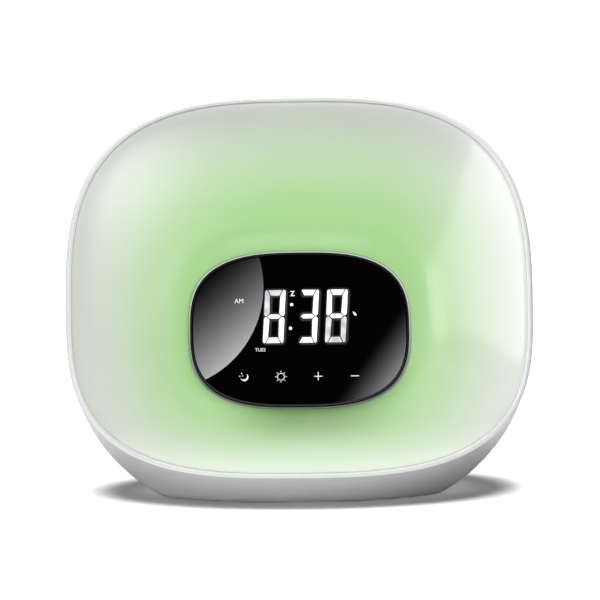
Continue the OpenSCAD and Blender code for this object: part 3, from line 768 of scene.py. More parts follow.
@dataclass(frozen=True)
class PanelGloss(Finish):
    """The gloss black panel, with the faint halo that each lit digit throws on it."""

    name: str = "lens_black"
    colour: str = "010101"
    shade: str = "020203"
    roughness: float = 0.0
    halo: float = 0.08
    halo_reach: float = 1.1
    halo_shift: Point = (0.3, -0.15)
    dust_scale: float = 900.0
    dust_range: Point = (0.45, 0.8)

    def paint(self, graph: Graph, shader: Any) -> None:
        """Adds the halos to the black.

        Args:
            graph: the material's nodes.
            shader: its Principled BSDF.
        """
        where, x, v = graph.face_place()
        over, up = self.halo_shift
        v = graph.math("SUBTRACT", v, (DIGITS.v + up) * MM)
        x = graph.math("MULTIPLY_ADD", v, -math.tan(DIGITS.slant), x)
        glow: Any = 0.0
        for digit, middle in DIGITS.shown:
            one = graph.node("ShaderNodeGroup", {
                "X": graph.math("SUBTRACT", x, (middle + over) * MM), "V": v,
                "Open Left": float(digit == "3"), "Reach": self.halo_reach * MM},
                node_tree=digit_glow())
            glow = graph.math("MAXIMUM", one.outputs[0], glow)
        graph.feed(shader.inputs["Emission Color"],
                   graph.blend(graph.math("MULTIPLY", glow, self.halo), (0, 0, 0, 1),
                               (1, 1, 1, 1)))
        dust = graph.ease(graph.noise(where, self.dust_scale, detail=3.0), *self.dust_range)
        graph.feed(shader.inputs["Base Color"],
                   graph.blend(dust, linear(self.colour), linear(self.shade)))
        shader.inputs["Roughness"].default_value = self.roughness
        shader.inputs["Emission Strength"].default_value = 1.0


@dataclass(frozen=True)
class Lit(Finish):
    """A lit mark of the display."""

    name: str
    colour: str
    strength: float
    faint: str = "E4E4EA"
    cloud: float = 260.0
    roughness: float = 0.3

    def paint(self, graph: Graph, shader: Any) -> None:
        """Makes the mark shine, a little unevenly.

        Args:
            graph: the material's nodes.
            shader: its Principled BSDF.
        """
        cloud = graph.ease(graph.noise(graph.place(), self.cloud), *CLOSE_PATCH)
        shine = graph.blend(cloud, linear(self.colour), linear(self.faint))
        graph.feed(shader.inputs["Base Color"], shine)
        graph.feed(shader.inputs["Emission Color"], shine)
        shader.inputs["Emission Strength"].default_value = self.strength
        shader.inputs["Roughness"].default_value = self.roughness


FINISHES: tuple[Finish, ...] = (
    Opal(),
    Plastic("ring_white", "FBFBFB", "F8F8F9", 0.14, 0.01, 900.0, 12.0, 0.02, coat=0.8),
    Plastic("housing_white", "E0E0E1", "DDDDDE", 0.3, 0.05, 2600.0, 9.0, 0.02),
    Plastic("cover_white", "D2D4D7", "CFD1D4", 0.46, 0.25, 2200.0, 24.0, 0.04),
    Plastic("foot_rubber", "3E3F41", "333436", 0.75, 0.3, 1800.0, 60.0, 0.1),
    PanelGloss(),
    TrimMetal("trim_chrome", "E2E3E6", "D6D7DB", 0.12, 2400.0),
    Plastic("carrier_black", "1E2022", "26282B", 0.5, 0.2),
    Plastic("foam_black", "2C2C2D", "1D1D1E", 0.95, 0.8, 900.0, 300.0, 0.1),
    Plastic("board_green", "1B5A34", "16502D", 0.35, 0.12, 1600.0, 140.0, 0.1),
    Plastic("board_white", "F0F1EC", "E6E8E2", 0.4, 0.1, 1600.0, 90.0, 0.08),
    Plastic("segment_white", "E8E8E6", "DCDCDA", 0.5, 0.1),
    Plastic("module_black", "141416", "1B1B1E", 0.42, 0.15),
    Metal("contact_brass", "C79A55", "B4884A", 0.28),
    Plastic("tray_white", "F1F1EE", "E9EAE6", 0.5, 0.15, 1800.0, 30.0, 0.08),
    Plastic("led_yellow", "F4E08A", "E8CF6A", 0.3, 0.05, 1500.0, 400.0, 0.05, glow=0.4),
    Plastic("chip_black", "202225", "2A2C30", 0.45, 0.2, 2600.0, 200.0, 0.1),
    Plastic("capacitor_can", "2B3A66", "24325A", 0.3, 0.05),
    Plastic("connector_ivory", "E6DFC8", "DCD4BB", 0.42, 0.12),
    Plastic("stem_red", "A93226", "972B20", 0.38, 0.1),
    Plastic("key_grey", "A6AAAF", "A0A4A9", 0.5, 0.25, 2200.0, 40.0, 0.08),
    Plastic("jack_black", "18191B", "202124", 0.38, 0.15),
    Metal("nickel", "C9C6BE", "BDBAB2", 0.22),
    Metal("cell_steel", "CACCCE", "BEC0C3", 0.26, 1600.0),
    Metal("frame_steel", "7C7F83", "6E7175", 0.4, 1400.0),
    Plastic("cone_paper", "2A2A2C", "222224", 0.85, 0.6, 1200.0, 220.0, 0.1),
    Metal("magnet_grey", "85888C", "777A7E", 0.42, 1200.0),
    Metal("screw_steel", "B2B5B9", "A4A7AC", 0.3),
    Plastic("ribbon_grey", "BFC3C8", "B2B7BD", 0.5, 0.15, 900.0, 160.0, 0.1),
    Plastic("wire_red", "B3302A", "A32A25", 0.42, 0.1),
    Plastic("wire_black", "262628", "303033", 0.45, 0.1),
    Lit("digit_light", "FFFFFF", 0.95),
    Lit("digit_dim", "D6D6DA", 0.82, "B4B5BC", 320.0),
    Lit("mark_light", "EDEDF2", 0.8),
)
FINISH_OF: dict[str, Finish] = {finish.name: finish for finish in FINISHES}


def dress(piece: bpy.types.Object, finish: str, body: str = ROOT,
          nodes: Iterable[str] = ()) -> None:
    """Gives a new piece its finish and its place in the frame.

    Args:
        piece: the piece.
        finish: its finish's name.
        body: the body that it rides on.
        nodes: the CAD nodes that it stands for.
    """
    piece.data.materials.append(FINISH_OF[finish].material())
    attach(piece, body)
    stands_for = list(nodes)
    if stands_for:
        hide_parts(*stands_for)
    LOG.info("%s: %d faces, %s, rides on %s", piece.name, len(piece.data.polygons), finish, body)


# ---- the front ----

@dataclass
class FrontShell:
    """The glowing diffuser and the glossy ring round it."""

    dome_height: float = 13.0
    dome_power: float = 0.6
    dome_rim: float = 2.0
    dome_wall: float = 2.2
    dome_skirt: float = 4.0
    dome_gap: float = 0.04
    window_gap: float = 0.1
    collar: float = 13.0
    collar_start: float = 1.05
    collar_reach: float = 1.34
    segments: int = 360
    steps: int = 34
    crowding: float = 1.7
    inner_steps: int = 12
    arc_steps: int = 8

    def depth(self, x: float, v: float) -> float:
        """Height of the dome, with the soft collar that flattens it round the display panel.

        Args:
            x: to the right.
            v: up the face.

        Returns:
            The height n.
        """
        share = FRONT.ring.shrunk(FRONT.ring_band).share(x, v)
        dome = self.dome_rim + self.dome_height * max(0.0, 1 - share * share) ** self.dome_power
        past = FRONT.lens.share(x, v) - self.collar_start
        near = past / (self.collar_reach - self.collar_start)
        return self.collar + (dome - self.collar) * smooth_step(near)

    def band(self, step: float, inset: float) -> Section:
        """A loop of the diffuser between its window and its rim.

        Args:
            step: 0 at the window, 1 at the rim.
            inset: how far it lies under the outer surface.

        Returns:
            The loop's section.
        """
        window = FRONT.lens.shrunk(-self.window_gap)
        rim = FRONT.ring.shrunk(FRONT.ring_band + self.dome_gap + inset)

        def at(angle: float) -> Vector:
            """The loop's point at an angle.

            Args:
                angle: direction in radians.

            Returns:
                The point in metres.
            """
            start, end = window.point(angle), rim.point(angle)
            x, v = (a + (b - a) * step for a, b in zip(start, end))
            return FRONT.face.place(x, v, self.depth(x, v) - inset)
        return at

    def build_diffuser(self) -> bpy.types.Object:
        """Builds the domed diffuser.

        Returns:
            The piece.
        """
        rim = FRONT.ring.shrunk(FRONT.ring_band + self.dome_gap)
        rows = [1 - (1 - i / self.steps) ** self.crowding for i in range(self.steps + 1)]
        inner = [1 - i / self.inner_steps for i in range(self.inner_steps + 1)]
        sections = [self.band(step, 0.0) for step in rows]
        sections.append(face_section(rim, -self.dome_skirt))
        sections.append(face_section(rim.shrunk(self.dome_wall), -self.dome_skirt))
        sections += [self.band(step, self.dome_wall) for step in inner]
        return to_object(loft(sections, self.segments, True), "opal_diffuser", SHELL_SHARP)

    def build_ring(self) -> bpy.types.Object:
        """Builds the ring from a rounded section.

        Returns:
            The piece.
        """
        crest, low, inner_low = 1.2, 0.8, 2.0
        top, quarter = FRONT.ring_front, math.pi / 2
        profile = [
            (0.0, -FRONT.ring_back),
            *arc((crest, low), (-crest, top - low), 0.0, quarter, self.arc_steps),
            *arc((crest, inner_low), (FRONT.ring_band - crest, top - inner_low), quarter, 0.0,
                 self.arc_steps)[1:],
            (FRONT.ring_band, -FRONT.ring_back)]
        sections = [face_section(FRONT.ring.shrunk(inset), n) for inset, n in profile]
        return to_object(loft(sections, self.segments, True), "white_ring", SHELL_SHARP)

    def build(self) -> None:
        """Builds and dresses both pieces."""
        dress(self.build_diffuser(), "diffuser_opal", nodes=["front_diffuser"])
        dress(self.build_ring(), "ring_white", nodes=["bezel_ring"])


# ---- the housing ----

@dataclass
class Housing:
    """The pod behind the ring: it narrows to the back cover and is cut flat where it stands."""

    wall: float = 2.0
    ring_step: float = 0.5
    side_bottom: float = 90.0
    side_power: float = 2.5
    skirt_slope: float = 0.95
    crease: float = 1.5
    sole: float = 1.0
    pod_power: float = 2.4
    rear: Oval = Oval(65, 57, 62, 2.6)
    rear_z: float = 74.0
    rear_y: float = 43.4
    foot: float = 0.8
    segments: int = 480
    outer_steps: int = 40
    inner_steps: int = 16

    def loop(self, turn: float, inset: float) -> Section:
        """A loop of the pod.

        Args:
            turn: 0 at the ring, a right angle at the back cover.
            inset: how far it lies inside the outer surface.

        Returns:
            The loop's section.
        """
        face, ring = FRONT.face, FRONT.ring
        share = math.sin(turn) ** (2 / self.pod_power)
        fullness = max(0.0, math.cos(turn)) ** (2 / self.pod_power)
        front_y = face.y + FRONT.ring_back * math.cos(face.lean)
        front_z = face.z - FRONT.ring_back * math.sin(face.lean)
        deep = self.rear_y - front_y
        y, z = front_y + deep * share, front_z + (self.rear_z - front_z) * share
        tilt = face.lean * (1 - share)

        def grown(front: float, back: float) -> float:
            """A size between the back's and the front's."""
            return back + (front - back) * fullness

        lip = ring.shrunk(self.ring_step)
        side = Oval(grown(lip.half_width, self.rear.half_width), grown(lip.up, self.rear.up),
                    grown(self.side_bottom, self.rear.down),
                    grown(self.side_power, self.rear.power))
        upper = Oval(side.half_width, side.up, side.down, grown(ring.power, self.rear.power))
        skirt = Oval(side.half_width, side.up, lip.down, ring.power)
        floor = (self.foot + inset - z) / math.cos(tilt)

        def at(angle: float) -> Vector:
            """The loop's point at an angle.

            Args:
                angle: direction in radians.

            Returns:
                The point in metres.
            """
            sin = math.sin(angle)
            if sin < 0:
                front = skirt.radius(angle) + self.skirt_slope * deep * share * sin * sin
                reach = smooth_min(side.radius(angle), front, -self.crease * sin)
            else:
                reach = upper.radius(angle)
            reach -= inset
            v = smooth_max(reach * sin, floor, self.sole)
            return MM * Vector((reach * math.cos(angle), y + v * math.sin(tilt),
                                z + v * math.cos(tilt)))
        return at

    def build(self) -> None:
        """Builds the housing and stands it in for its CAD node."""
        quarter = math.pi / 2
        sections = [self.loop(quarter * i / self.outer_steps, 0.0)
                    for i in range(self.outer_steps + 1)]
        sections += [self.loop(quarter * (1 - i / self.inner_steps), self.wall)
                     for i in range(self.inner_steps + 1)]
        piece = to_object(loft(sections, self.segments, True), "pod_housing", SHELL_SHARP)
        dress(piece, "housing_white", nodes=["main_housing"])


# ---- the display ----

class Bar(Enum):
    """The seven bars of a digit, as side (left -1, right 1) and height (low -1, high 1)."""

    TOP = (0, 1)
    UPPER_LEFT = (-1, 1)
    UPPER_RIGHT = (1, 1)
    MIDDLE = (0, 0)
    LOWER_LEFT = (-1, -1)
    LOWER_RIGHT = (1, -1)
    BOTTOM = (0, -1)


DIGIT_BARS: dict[str, tuple[Bar, ...]] = {
    "3": (Bar.TOP, Bar.UPPER_RIGHT, Bar.MIDDLE, Bar.LOWER_RIGHT, Bar.BOTTOM),
    "8": tuple(Bar),
}


@dataclass
class DisplayPanel:
    """The gloss black panel, its bright trim, and the marks that shine through it."""

    edge: float = 0.9
    flat_margin: float = 0.3
    trim_proud: float = 0.15
    mark_sink: float = 0.02
    mark_proud: float = 0.03
    weld: float = 0.001
    bar_gap: float = 0.42
    dim: tuple[tuple[int, Bar], ...] = (
        (0, Bar.UPPER_LEFT), (0, Bar.TOP), (2, Bar.LOWER_LEFT), (2, Bar.LOWER_RIGHT),
        (2, Bar.BOTTOM))
    colon: tuple[tuple[float, float], ...] = ((-3.1, 3.1), (-3.7, -6.5))
    colon_radius: float = 0.65
    words: tuple[tuple[str, float, float, float], ...] = (
        ("AM", -24.4, 4.7, 2.6), ("TUES", -16.0, -15.2, 1.9), ("z", -2.7, 7.9, 4.6))
    key_v: float = -26.1
    key_x: tuple[float, ...] = (-22.6, -7.8, 7.3, 22.2)
    drop: Point = (22.3, -0.8)
    stars: tuple[tuple[float, float, float], ...] = (
        (-1.9, 0.35, 0.24), (-1.1, 1.5, 0.24), (-0.75, 0.5, 0.2))
    star_sides: int = 8
    stroke: float = 0.32
    sign: float = 3.35
    segments: int = 288
    arc_steps: int = 4

    def build_lens(self) -> bpy.types.Object:
        """Builds the panel with its rounded edge.

        Returns:
            The piece.
        """
        outline = FRONT.lens.shrunk(FRONT.trim_width)
        profile = [
            (self.flat_margin, FRONT.lens_back), (0.0, FRONT.lens_back),
            *arc((self.edge, FRONT.lens_front - self.edge), (-self.edge, self.edge), 0.0,
                 math.pi / 2, self.arc_steps),
            (self.edge + self.flat_margin, FRONT.lens_front)]
        sections = [face_section(outline.shrunk(inset), n) for inset, n in profile]
        return to_object(loft(sections, self.segments, False), "black_panel")

    def build_trim(self) -> bpy.types.Object:
        """Builds the thin metal trim with its rounded crest.

        Returns:
            The piece.
        """
        half, top = FRONT.trim_width / 2, FRONT.lens_front + self.trim_proud
        profile = [(0.0, FRONT.lens_back),
                   *arc((half, top - half), (-half, half), 0.0, math.pi, 2 * self.arc_steps),
                   (2 * half, FRONT.lens_back)]
        sections = [face_section(FRONT.lens.shrunk(inset), n) for inset, n in profile]
        return to_object(loft(sections, self.segments, True), "panel_trim")

    def bar_points(self, bar: Bar) -> list[Point]:
        """The outline of one bar, about the digit's middle.

        Args:
            bar: which bar.

        Returns:
            Its points, before the digit is slanted.
        """
        w, h, t, cut = DIGITS.width / 2, DIGITS.height / 2, DIGITS.bar, self.bar_gap / 2
        corner, tip, shoulder, waist, blunt = 0.7, w - 1.05, 0.5, 1.15, (0.28, 0.105)
        side, up = bar.value
        if bar is Bar.MIDDLE:
            half = [(w - waist - cut, 0.0), (w - t - cut, t / 2 - cut), (cut + t - w, t / 2 - cut)]
            return half + [(-x, -v) for x, v in half]
        if side == 0:
            points = [(cut - tip, h), (tip - cut, h), (w - t - cut, h - t), (cut + t - w, h - t)]
            return [(x, v * up) for x, v in points]
        points = [(tip + cut, h), (w - blunt[0], h - blunt[1]), (w, h - corner),
                  (w, corner + cut), (w - shoulder, cut), (w - waist, cut),
                  (w - t, t / 2 + cut), (w - t + cut, h - t)]
        return [(x * side, v * up) for x, v in points]

    def low_high(self) -> Point:
        """Underside and top of a mark, so that it lies in the panel's surface."""
        return FRONT.lens_front - self.mark_sink, FRONT.lens_front + self.mark_proud

    def build_digits(self, name: str, dimmed: bool) -> bpy.types.Object:
        """Builds the bars that shine in full, with the colon, or the dimmer ones.

        Args:
            name: the piece's name.
            dimmed: True for the dimmer bars.

        Returns:
            The piece.
        """
        shape = bmesh.new()
        lean = math.tan(DIGITS.slant)
        for place, (digit, middle) in enumerate(DIGITS.shown):
            for bar in DIGIT_BARS[digit]:
                if ((place, bar) in self.dim) is dimmed:
                    self.mark(shape, [(middle + x + v * lean, DIGITS.v + v)
                                      for x, v in self.bar_points(bar)])
        if not dimmed:
            for dot in self.colon:
                self.disc(shape, dot, self.colon_radius)
        return self.on_panel(shape, name)

    def mark(self, shape: bmesh.types.BMesh, points: Sequence[Point]) -> None:
        """Adds a flat mark that lies in the panel's surface."""
        plate(shape, points, *self.low_high())

    def disc(self, shape: bmesh.types.BMesh, middle: Point, radius: float,
             sides: int = 20) -> None:
        """Adds a round dot to a mesh in the face frame."""
        self.mark(shape, arc(middle, (radius, radius), 0.0, math.tau, sides)[:-1])

    def on_panel(self, shape: bmesh.types.BMesh, name: str) -> bpy.types.Object:
        """Makes an object of marks that are drawn in the face frame.

        Args:
            shape: the marks, in millimetres.
            name: the piece's name.

        Returns:
            The piece.
        """
        bmesh.ops.recalc_face_normals(shape, faces=shape.faces[:])
        shape.transform(FRONT.face.stand(0, 0, 0) @ Matrix.Scale(MM, 4))
        return to_object(shape, name)

    def build_words(self) -> bpy.types.Object:
        """Sets the small lit words.

        Returns:
            The piece.
        """
        low, high = self.low_high()
        shape = bmesh.new()
        for text, x, v, size in self.words:
            letters = bpy.data.curves.new(f"word_{text}", "FONT")
            letters.body, letters.size = text, size
            letters.align_x, letters.align_y = "CENTER", "CENTER"
            letters.extrude = (high - low) / 2
            holder = bpy.data.objects.new(letters.name, letters)
            mesh = bpy.data.meshes.new_from_object(holder)
            mesh.transform(Matrix.Translation((x, v, (low + high) / 2)))
            shape.from_mesh(mesh)
            bpy.data.objects.remove(holder)
            bpy.data.curves.remove(letters)
            bpy.data.meshes.remove(mesh)
        bmesh.ops.remove_doubles(shape, verts=shape.verts[:], dist=self.weld)
        return self.on_panel(shape, "lit_words")

    def strip(self, shape: bmesh.types.BMesh, middle: Point, start: float,
              end: float, turn: float, width: float) -> None:
        """Adds a straight stroke that points away from a middle.

        Args:
            shape: the mesh, in the face frame.
            middle: the point that the stroke points away from.
            start: distance of its near end.
            end: distance of its far end.
            turn: its direction in radians.
            width: its width.
        """
        half = width / 2
        corners = [(start, -half), (end, -half), (end, half), (start, half)]
        self.mark(shape, turned(corners, turn, middle))

    def build_icons(self) -> bpy.types.Object:
        """Draws the four touch keys and the small drop beside the digits.

        Returns:
            The piece.
        """
        shape = bmesh.new()
        moon, sun, plus, minus = ((x, self.key_v) for x in self.key_x)
        self.add_moon(shape, moon)
        self.add_sun(shape, sun)
        for turn in (0, math.pi):
            self.strip(shape, minus, 0.0, self.sign / 2, turn, self.stroke)
            self.strip(shape, plus, self.stroke / 2, self.sign / 2, turn, self.stroke)
        for turn in (math.pi / 2, -math.pi / 2):
            self.strip(shape, plus, 0.0, self.sign / 2, turn, self.stroke)
        self.add_drop(shape, self.drop)
        return self.on_panel(shape, "lit_icons")

    def add_moon(self, shape: bmesh.types.BMesh, middle: Point) -> None:
        """Adds a crescent with three stars.

        Args:
            shape: the mesh, in the face frame.
            middle: the crescent's middle.
        """
        outer, shift, steps = 1.6, 0.62, 16
        opening = math.radians(125)
        reach = math.radians(112)
        back = opening + math.pi
        points = arc((0.0, 0.0), (outer, outer), back - reach, back + reach, steps)
        away = polar(shift, opening)
        first, last = (math.atan2(tip[1] - away[1], tip[0] - away[0])
                       for tip in (points[0], points[-1]))
        inner, end = math.dist(points[0], away), first + (last - first) % math.tau
        points += arc(away, (inner, inner), first, end, steps)[-2:0:-1]
        self.mark(shape, turned(points, 0.0, middle))
        for x, v, radius in self.stars:
            self.disc(shape, (middle[0] + x, middle[1] + v), radius, self.star_sides)

    def add_sun(self, shape: bmesh.types.BMesh, middle: Point) -> None:
        """Adds a ring with eight rays.

        Args:
            shape: the mesh, in the face frame.
            middle: the sun's middle.
        """
        rays, sides, radius, fine, ray_start, ray_end = 8, 32, 1.25, 0.25, 1.8, 2.35
        for i in range(sides):
            a, b = math.tau * i / sides, math.tau * (i + 1) / sides
            inner, outer = radius, radius + fine
            corners = ((inner, a), (outer, a), (outer, b), (inner, b))
            self.mark(shape, [polar(*corner, middle) for corner in corners])
        for i in range(rays):
            self.strip(shape, middle, ray_start, ray_end, math.tau * i / rays, fine)

    def add_drop(self, shape: bmesh.types.BMesh, middle: Point) -> None:
        """Adds a slanted drop.

        Args:
            shape: the mesh, in the face frame.
            middle: the drop's middle.
        """
        length, width, pointed, steps, turn = 1.15, 0.62, 1.2, 24, math.radians(128)
        points = []
        for i in range(steps):
            a = math.tau * i / steps
            points.append((length * math.cos(a),
                           width * math.sin(a) * math.sin(a / 2) ** pointed))
        self.mark(shape, turned(points, turn, middle))

    def build(self) -> None:
        """Builds and dresses the panel, its trim and its marks."""
        dress(self.build_lens(), "lens_black", nodes=["display_lens"])
        dress(self.build_trim(), "trim_chrome", nodes=["lens_trim"])
        dress(self.build_digits("lit_digits", False), "digit_light")
        dress(self.build_digits("dim_digits", True), "digit_dim")
        dress(self.build_words(), "mark_light")
        dress(self.build_icons(), "mark_light")


# ---- the CAD nodes that stay ----

@dataclass
class CarriedOver:
    """The nodes whose shape is right, each with the finish of its material slot."""

    nodes: dict[str, bpy.types.Object]

    def dress(self) -> None:
        """Puts a finish in every material slot of every node."""
        for name, node in sorted(self.nodes.items()):
            for place in node.material_slots:
                slot = place.material.name.split(".")[0]
                place.material = FINISH_OF[slot].material()
                LOG.info("%s: keeps its shape, finish %s", name, slot)


# ---- the studio ----

class Reach(Enum):
    """What a lamp lights: True lights only the named piece, False all but that one."""

    FLOOR = (True, "floor")
    CLOCK = (False, "floor")
    DOME = (True, "opal_diffuser")
    HOUSING = (True, "pod_housing")
    RING = (True, "white_ring")
    TRIM = (True, "panel_trim")
    PANEL = (True, "black_panel")

    def apply(self, holder: bpy.types.Object) -> None:
        """Links a lamp to what it lights.

        Args:
            holder: the lamp's object.
        """
        lit, name = self.value
        linked = bpy.data.collections.new(holder.name)
        linked.objects.link(bpy.data.objects[name])
        for entry in linked.collection_objects:
            entry.light_linking.link_state = "INCLUDE" if lit else "EXCLUDE"
        holder.light_linking.receiver_collection = linked


class Outline(Enum):
    """The outline of a flat lamp."""

    ROUND = "ELLIPSE"
    STRAIGHT = "RECTANGLE"


class FlatLamp:
    """What every studio lamp shares: a glowing flat shape that the camera doesn't see."""

    name: str

    def start(self, outline: Outline, width: float, height: float,
              watts: float) -> tuple[bpy.types.Light, Graph, Socket, Socket]:
        """Makes the lamp's data.

        Args:
            outline: its outline.
            width: its width in metres.
            height: its height.
            watts: its power.

        Returns:
            The data, its graph, and how far across and along the lamp a point lies, 0 to 1.
        """
        lamp = bpy.data.lights.new(self.name, "AREA")
        lamp.shape, lamp.size, lamp.size_y, lamp.energy = outline.value, width, height, watts
        lamp.use_nodes = True
        graph = Graph(lamp.node_tree)
        spot = graph.node("ShaderNodeNewGeometry").outputs["Parametric"]
        across, along = graph.node("ShaderNodeSeparateXYZ", {0: spot}).outputs[:2]
        return lamp, graph, across, along

    def hang(self, lamp: bpy.types.Light, level: Socket, place: Matrix, reach: Reach,
             mirrored: bool) -> None:
        """Gives the lamp its brightness and its place.

        Args:
            lamp: the lamp's data.
            level: its brightness over its width and height.
            place: where it hangs.
            reach: what it lights.
            mirrored: True where glossy pieces show it.
        """
        Graph(lamp.node_tree).feed(lamp.node_tree.nodes["Emission"].inputs["Strength"], level)
        holder = bpy.data.objects.new(self.name, lamp)
        bpy.context.scene.collection.objects.link(holder)
        holder.matrix_world = place
        holder.visible_camera = False
        holder.visible_glossy = mirrored
        reach.apply(holder)
        LOG.info("lamp %s: %.1f W", self.name, lamp.energy)


@dataclass(frozen=True)
class Softbox(FlatLamp):
    """A lamp that fades towards its edges, along its width and past two slanting lines."""

    name: str
    place: tuple[float, float, float]
    aim: tuple[float, float, float]
    width: float
    height: float
    watts: float
    reach: Reach = Reach.CLOCK
    mirrored: bool = False
    soft_edge: float = 0.0
    soft_line: Point = (-0.02, 0.04)
    floor_line: Point = (0.0, 0.0)
    roof_line: Point = (1.0, 1.0)
    tones: Point = (1.0, 1.0)

    def build(self) -> None:
        """Hangs the lamp and turns it to its aim."""
        lamp, graph, across, along = self.start(Outline.STRAIGHT, self.width, self.height,
                                                self.watts)
        level = graph.between(across, *self.tones)
        if self.soft_edge:
            for part in (across, along):
                inwards = graph.math("SUBTRACT", 0.5, graph.math(
                    "ABSOLUTE", graph.math("SUBTRACT", part, 0.5)))
                level = graph.math("MULTIPLY", level, graph.ease(inwards, 0.0, self.soft_edge))
        for line, side in ((self.floor_line, 1.0), (self.roof_line, -1.0)):
            if line[0] != line[1]:
                past = graph.math("SUBTRACT", along, graph.between(across, *line))
                level = graph.math("MULTIPLY", level, graph.ease(
                    graph.math("MULTIPLY", past, side), *self.soft_line))
        back = (Vector(self.place) - Vector(self.aim)).normalized()
        aimed = back.to_track_quat("Z", "Y").to_matrix().to_4x4()
        self.hang(lamp, level, Matrix.Translation(self.place) @ aimed, self.reach, self.mirrored)


@dataclass(frozen=True)
class Glint(FlatLamp):
    """A distant lamp that only the display panel mirrors, brighter towards one side."""

    name: str
    outline: Outline
    x: float
    v: float
    width: float
    height: float
    turn: float
    low: float
    high: float
    away: float = 1000.0
    contrast: float = 2.2
    strength: float = 25.0

    def build(self, camera: Vector) -> None:
        """Hangs the lamp where the panel mirrors it at its x and v.

        Args:
            camera: the camera's x, v and n.
        """
        behind = 2 * FRONT.lens_front - camera.z
        grown = (self.away - behind) / (FRONT.lens_front - behind)
        width, height = self.width * grown * MM, self.height * grown * MM
        area = width * height * (math.pi / 4 if self.outline is Outline.ROUND else 1)
        lamp, graph, across, _ = self.start(self.outline, width, height, math.pi * area)
        tone = graph.math("MAXIMUM", graph.between(across, self.low, self.high), 0.0)
        level = graph.math("MULTIPLY", graph.math("POWER", tone, self.contrast), self.strength)
        spot = [camera[i] + (place - camera[i]) * grown for i, place in enumerate((self.x, self.v))]
        self.hang(lamp, level, FRONT.face.stand(*spot, self.away, self.turn), Reach.PANEL, True)


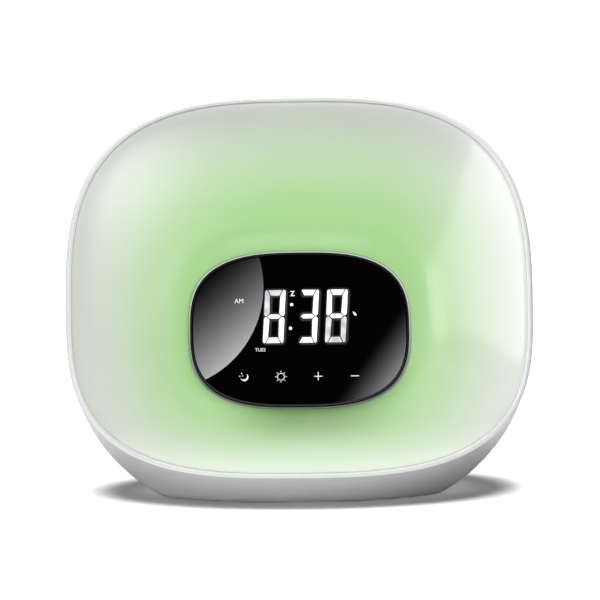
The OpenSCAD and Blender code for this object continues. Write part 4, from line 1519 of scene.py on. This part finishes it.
@dataclass
class Studio:
    """Floor, lamps, surroundings and camera."""

    floor_size: float = 60.0
    # Painted light on the floor, seen by camera and glossy rays: strong under the clock, weaker
    # just round it and full white past an oval round the clock, which lightens and trims the
    # clock's shadow.
    floor_painted_lift: Point = (0.2, 0.04)
    floor_core: float = 0.058
    floor_near: float = 0.076
    floor_far: float = 0.096
    floor_oval: tuple[float, float, float] = (0.0025, 0.011, 1.9)
    floor_gloss: float = 0.35
    floor_tone: float = 0.97
    floor_grain: float = 3.0
    floor_roughness: float = 0.9
    sky: float = 0.13
    front_gloss: float = 0.02
    front_range: Point = (-0.95, -0.2)
    rise_range: Point = (0.0, 0.13)
    lens: float = 738.0
    sensor: float = 36.0
    clip: Point = (0.01, 200.0)
    distance: float = 5000.0
    aim_x: float = 0.3
    aim_v: float = 4.9
    roll: float = math.radians(0.7)
    lamps: tuple[Softbox, ...] = field(default_factory=lambda: (
        Softbox("left_box", (-0.75, -1.2, 0.78), (0, 0, 0.08), 0.75, 1.4, 3.5),
        Softbox("skirt_box", (-1.1, -1.2, 0.12), (0, 0, 0.04), 0.9, 0.3, 5.5, Reach.HOUSING),
        Softbox("top_box", (0.0, 0.0, 1.9), (0, 0, 0.08), 0.8, 0.8, 17.0),
        Softbox("back_box", (0.1, 1.6, 0.8), (0, 0, 0.08), 1.0, 0.8, 12.0),
        Softbox("floor_box", (0.0, -0.25, 1.2), (0, 0, 0), 0.45, 0.4, 8.5, Reach.FLOOR),
        Softbox("right_wall", (1.0, -2.08, 0.6125), (0, -2.08, 0.6125), 3.54, 1.525, 33.0,
                Reach.DOME, True, floor_line=(0.59, 0.046), roof_line=(0.7, 1.3),
                tones=(0.9, 1.3)),
        Softbox("left_glow", (-0.58, -1.2, 0.82), (0, 0, 0.08), 1.4, 1.7, 19.5, Reach.DOME,
                True, 0.5),
        Softbox("ring_box", (-0.6, -1.5, 0.2), (0, 0, 0.08), 1.0, 1.0, 5.0, Reach.RING, True),
        Softbox("ring_top", (-0.2, -1.2, 1.4), (0, 0, 0.08), 1.2, 0.6, 9.0, Reach.RING, True),
        Softbox("trim_box", (0.0, -1.6, 0.5), (0, 0, 0.08), 1.6, 0.6, 3.0, Reach.TRIM, True),
    ))
    glints: tuple[Glint, ...] = (
        Glint("round_glint", Outline.ROUND, -56.2, 10.9, 83.4, 83.4, math.radians(-49), -0.99,
              0.71),
        Glint("side_glint", Outline.STRAIGHT, 34.5, -27.5, 24.4, 57.0, math.radians(-36), 0.0,
              0.84),
    )

    def shown(self, graph: Graph) -> Socket:
        """A mask for rays from the camera, off gloss or through glass.

        Args:
            graph: the nodes of the floor or the world.

        Returns:
            1 for those rays and 0 for the others.
        """
        path = graph.node("ShaderNodeLightPath").outputs
        seen = graph.math("MAXIMUM", path["Is Camera Ray"], path["Is Glossy Ray"])
        return graph.math("MAXIMUM", seen, path["Is Transmission Ray"])

    def build_floor(self) -> None:
        """Lays the pale floor, which keeps the clock's shadow, lightened under the clock and faded
        at its edges by painted light.
        """
        shape = bmesh.new()
        bmesh.ops.create_grid(shape, x_segments=1, y_segments=1, size=self.floor_size / 2)
        floor = to_object(shape, "floor")
        made = bpy.data.materials.new("studio_floor")
        made.use_nodes = True
        graph = Graph(made.node_tree)
        shader = made.node_tree.nodes["Principled BSDF"]
        tone = (self.floor_tone, self.floor_tone, self.floor_tone, 1)
        graph.feed(shader.inputs["Base Color"],
                   graph.blend(graph.noise(graph.place(), self.floor_grain), tone, (1, 1, 1, 1)))
        shader.inputs["Roughness"].default_value = self.floor_roughness
        shader.inputs["Specular IOR Level"].default_value = 0.0
        middle_x, middle_y, stretch = self.floor_oval
        stretched = graph.node("ShaderNodeVectorMath",
                               {0: graph.place((middle_x, middle_y, 0)), 1: (1, stretch, 1)},
                               operation="MULTIPLY")
        reach = graph.node("ShaderNodeVectorMath", {0: stretched.outputs[0]}, operation="LENGTH")
        # Painted light that lightens the shadow under the clock and fades its edges.
        painted_lift = graph.ease(reach.outputs["Value"], self.floor_near, self.floor_far)
        painted_lift = graph.math("ADD", painted_lift, graph.ease(
            reach.outputs["Value"], self.floor_core, self.floor_near, *self.floor_painted_lift))
        glossy = graph.node("ShaderNodeLightPath").outputs["Is Glossy Ray"]
        kept = graph.between(glossy, 1.0, self.floor_gloss)
        graph.feed(shader.inputs["Emission Strength"], graph.math(
            "MULTIPLY", graph.math("MULTIPLY", self.shown(graph), painted_lift), kept))
        shader.inputs["Emission Color"].default_value = (1, 1, 1, 1)
        floor.data.materials.append(made)

    def build_world(self) -> None:
        """Makes the surroundings white to the camera and plain to the clock."""
        world = bpy.data.worlds.new("studio")
        bpy.context.scene.world = world
        world.use_nodes = True
        graph = Graph(world.node_tree)
        back = world.node_tree.nodes["Background"]
        back.inputs["Color"].default_value = (1, 1, 1, 1)
        path = graph.node("ShaderNodeLightPath").outputs
        where = graph.node("ShaderNodeTexCoord").outputs["Generated"]
        _, ahead, rise = graph.node("ShaderNodeSeparateXYZ", {0: where}).outputs
        gloss = graph.ease(ahead, *self.front_range, self.front_gloss, 1.0)
        gloss = graph.math("MAXIMUM", gloss,
                           graph.ease(rise, *self.rise_range, 1.0, self.front_gloss))
        level = graph.node("ShaderNodeMix", {"Factor": self.shown(graph), 2: self.sky, 3: 1.0})
        soft = graph.node("ShaderNodeMix", {"Factor": path["Is Glossy Ray"],
                                            2: level.outputs[0], 3: gloss})
        graph.feed(back.inputs["Strength"], soft.outputs[0])

    def build_camera(self) -> None:
        """Sets the camera square to the leaning face."""
        camera = bpy.data.cameras.new("camera")
        camera.lens, camera.sensor_width = self.lens, self.sensor
        camera.clip_start, camera.clip_end = self.clip
        camera.dof.use_dof = False
        holder = bpy.data.objects.new("camera", camera)
        bpy.context.scene.collection.objects.link(holder)
        holder.matrix_world = FRONT.face.stand(self.aim_x, self.aim_v, self.distance, -self.roll)
        bpy.context.scene.camera = holder

    def build(self) -> None:
        """Builds the whole studio."""
        bpy.context.scene.view_settings.view_transform = "Standard"
        self.build_floor()
        self.build_world()
        for lamp in self.lamps:
            lamp.build()
        for glint in self.glints:
            glint.build(Vector((self.aim_x, self.aim_v, self.distance)))
        self.build_camera()


def main() -> None:
    """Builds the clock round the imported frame."""
    logging.basicConfig(level=logging.INFO, format="%(message)s")
    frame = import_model()
    CarriedOver(frame["nodes"]).dress()
    FrontShell().build()
    Housing().build()
    DisplayPanel().build()
    Studio().build()
    bpy.context.view_layer.update()


if __name__ == "__main__":
    main()
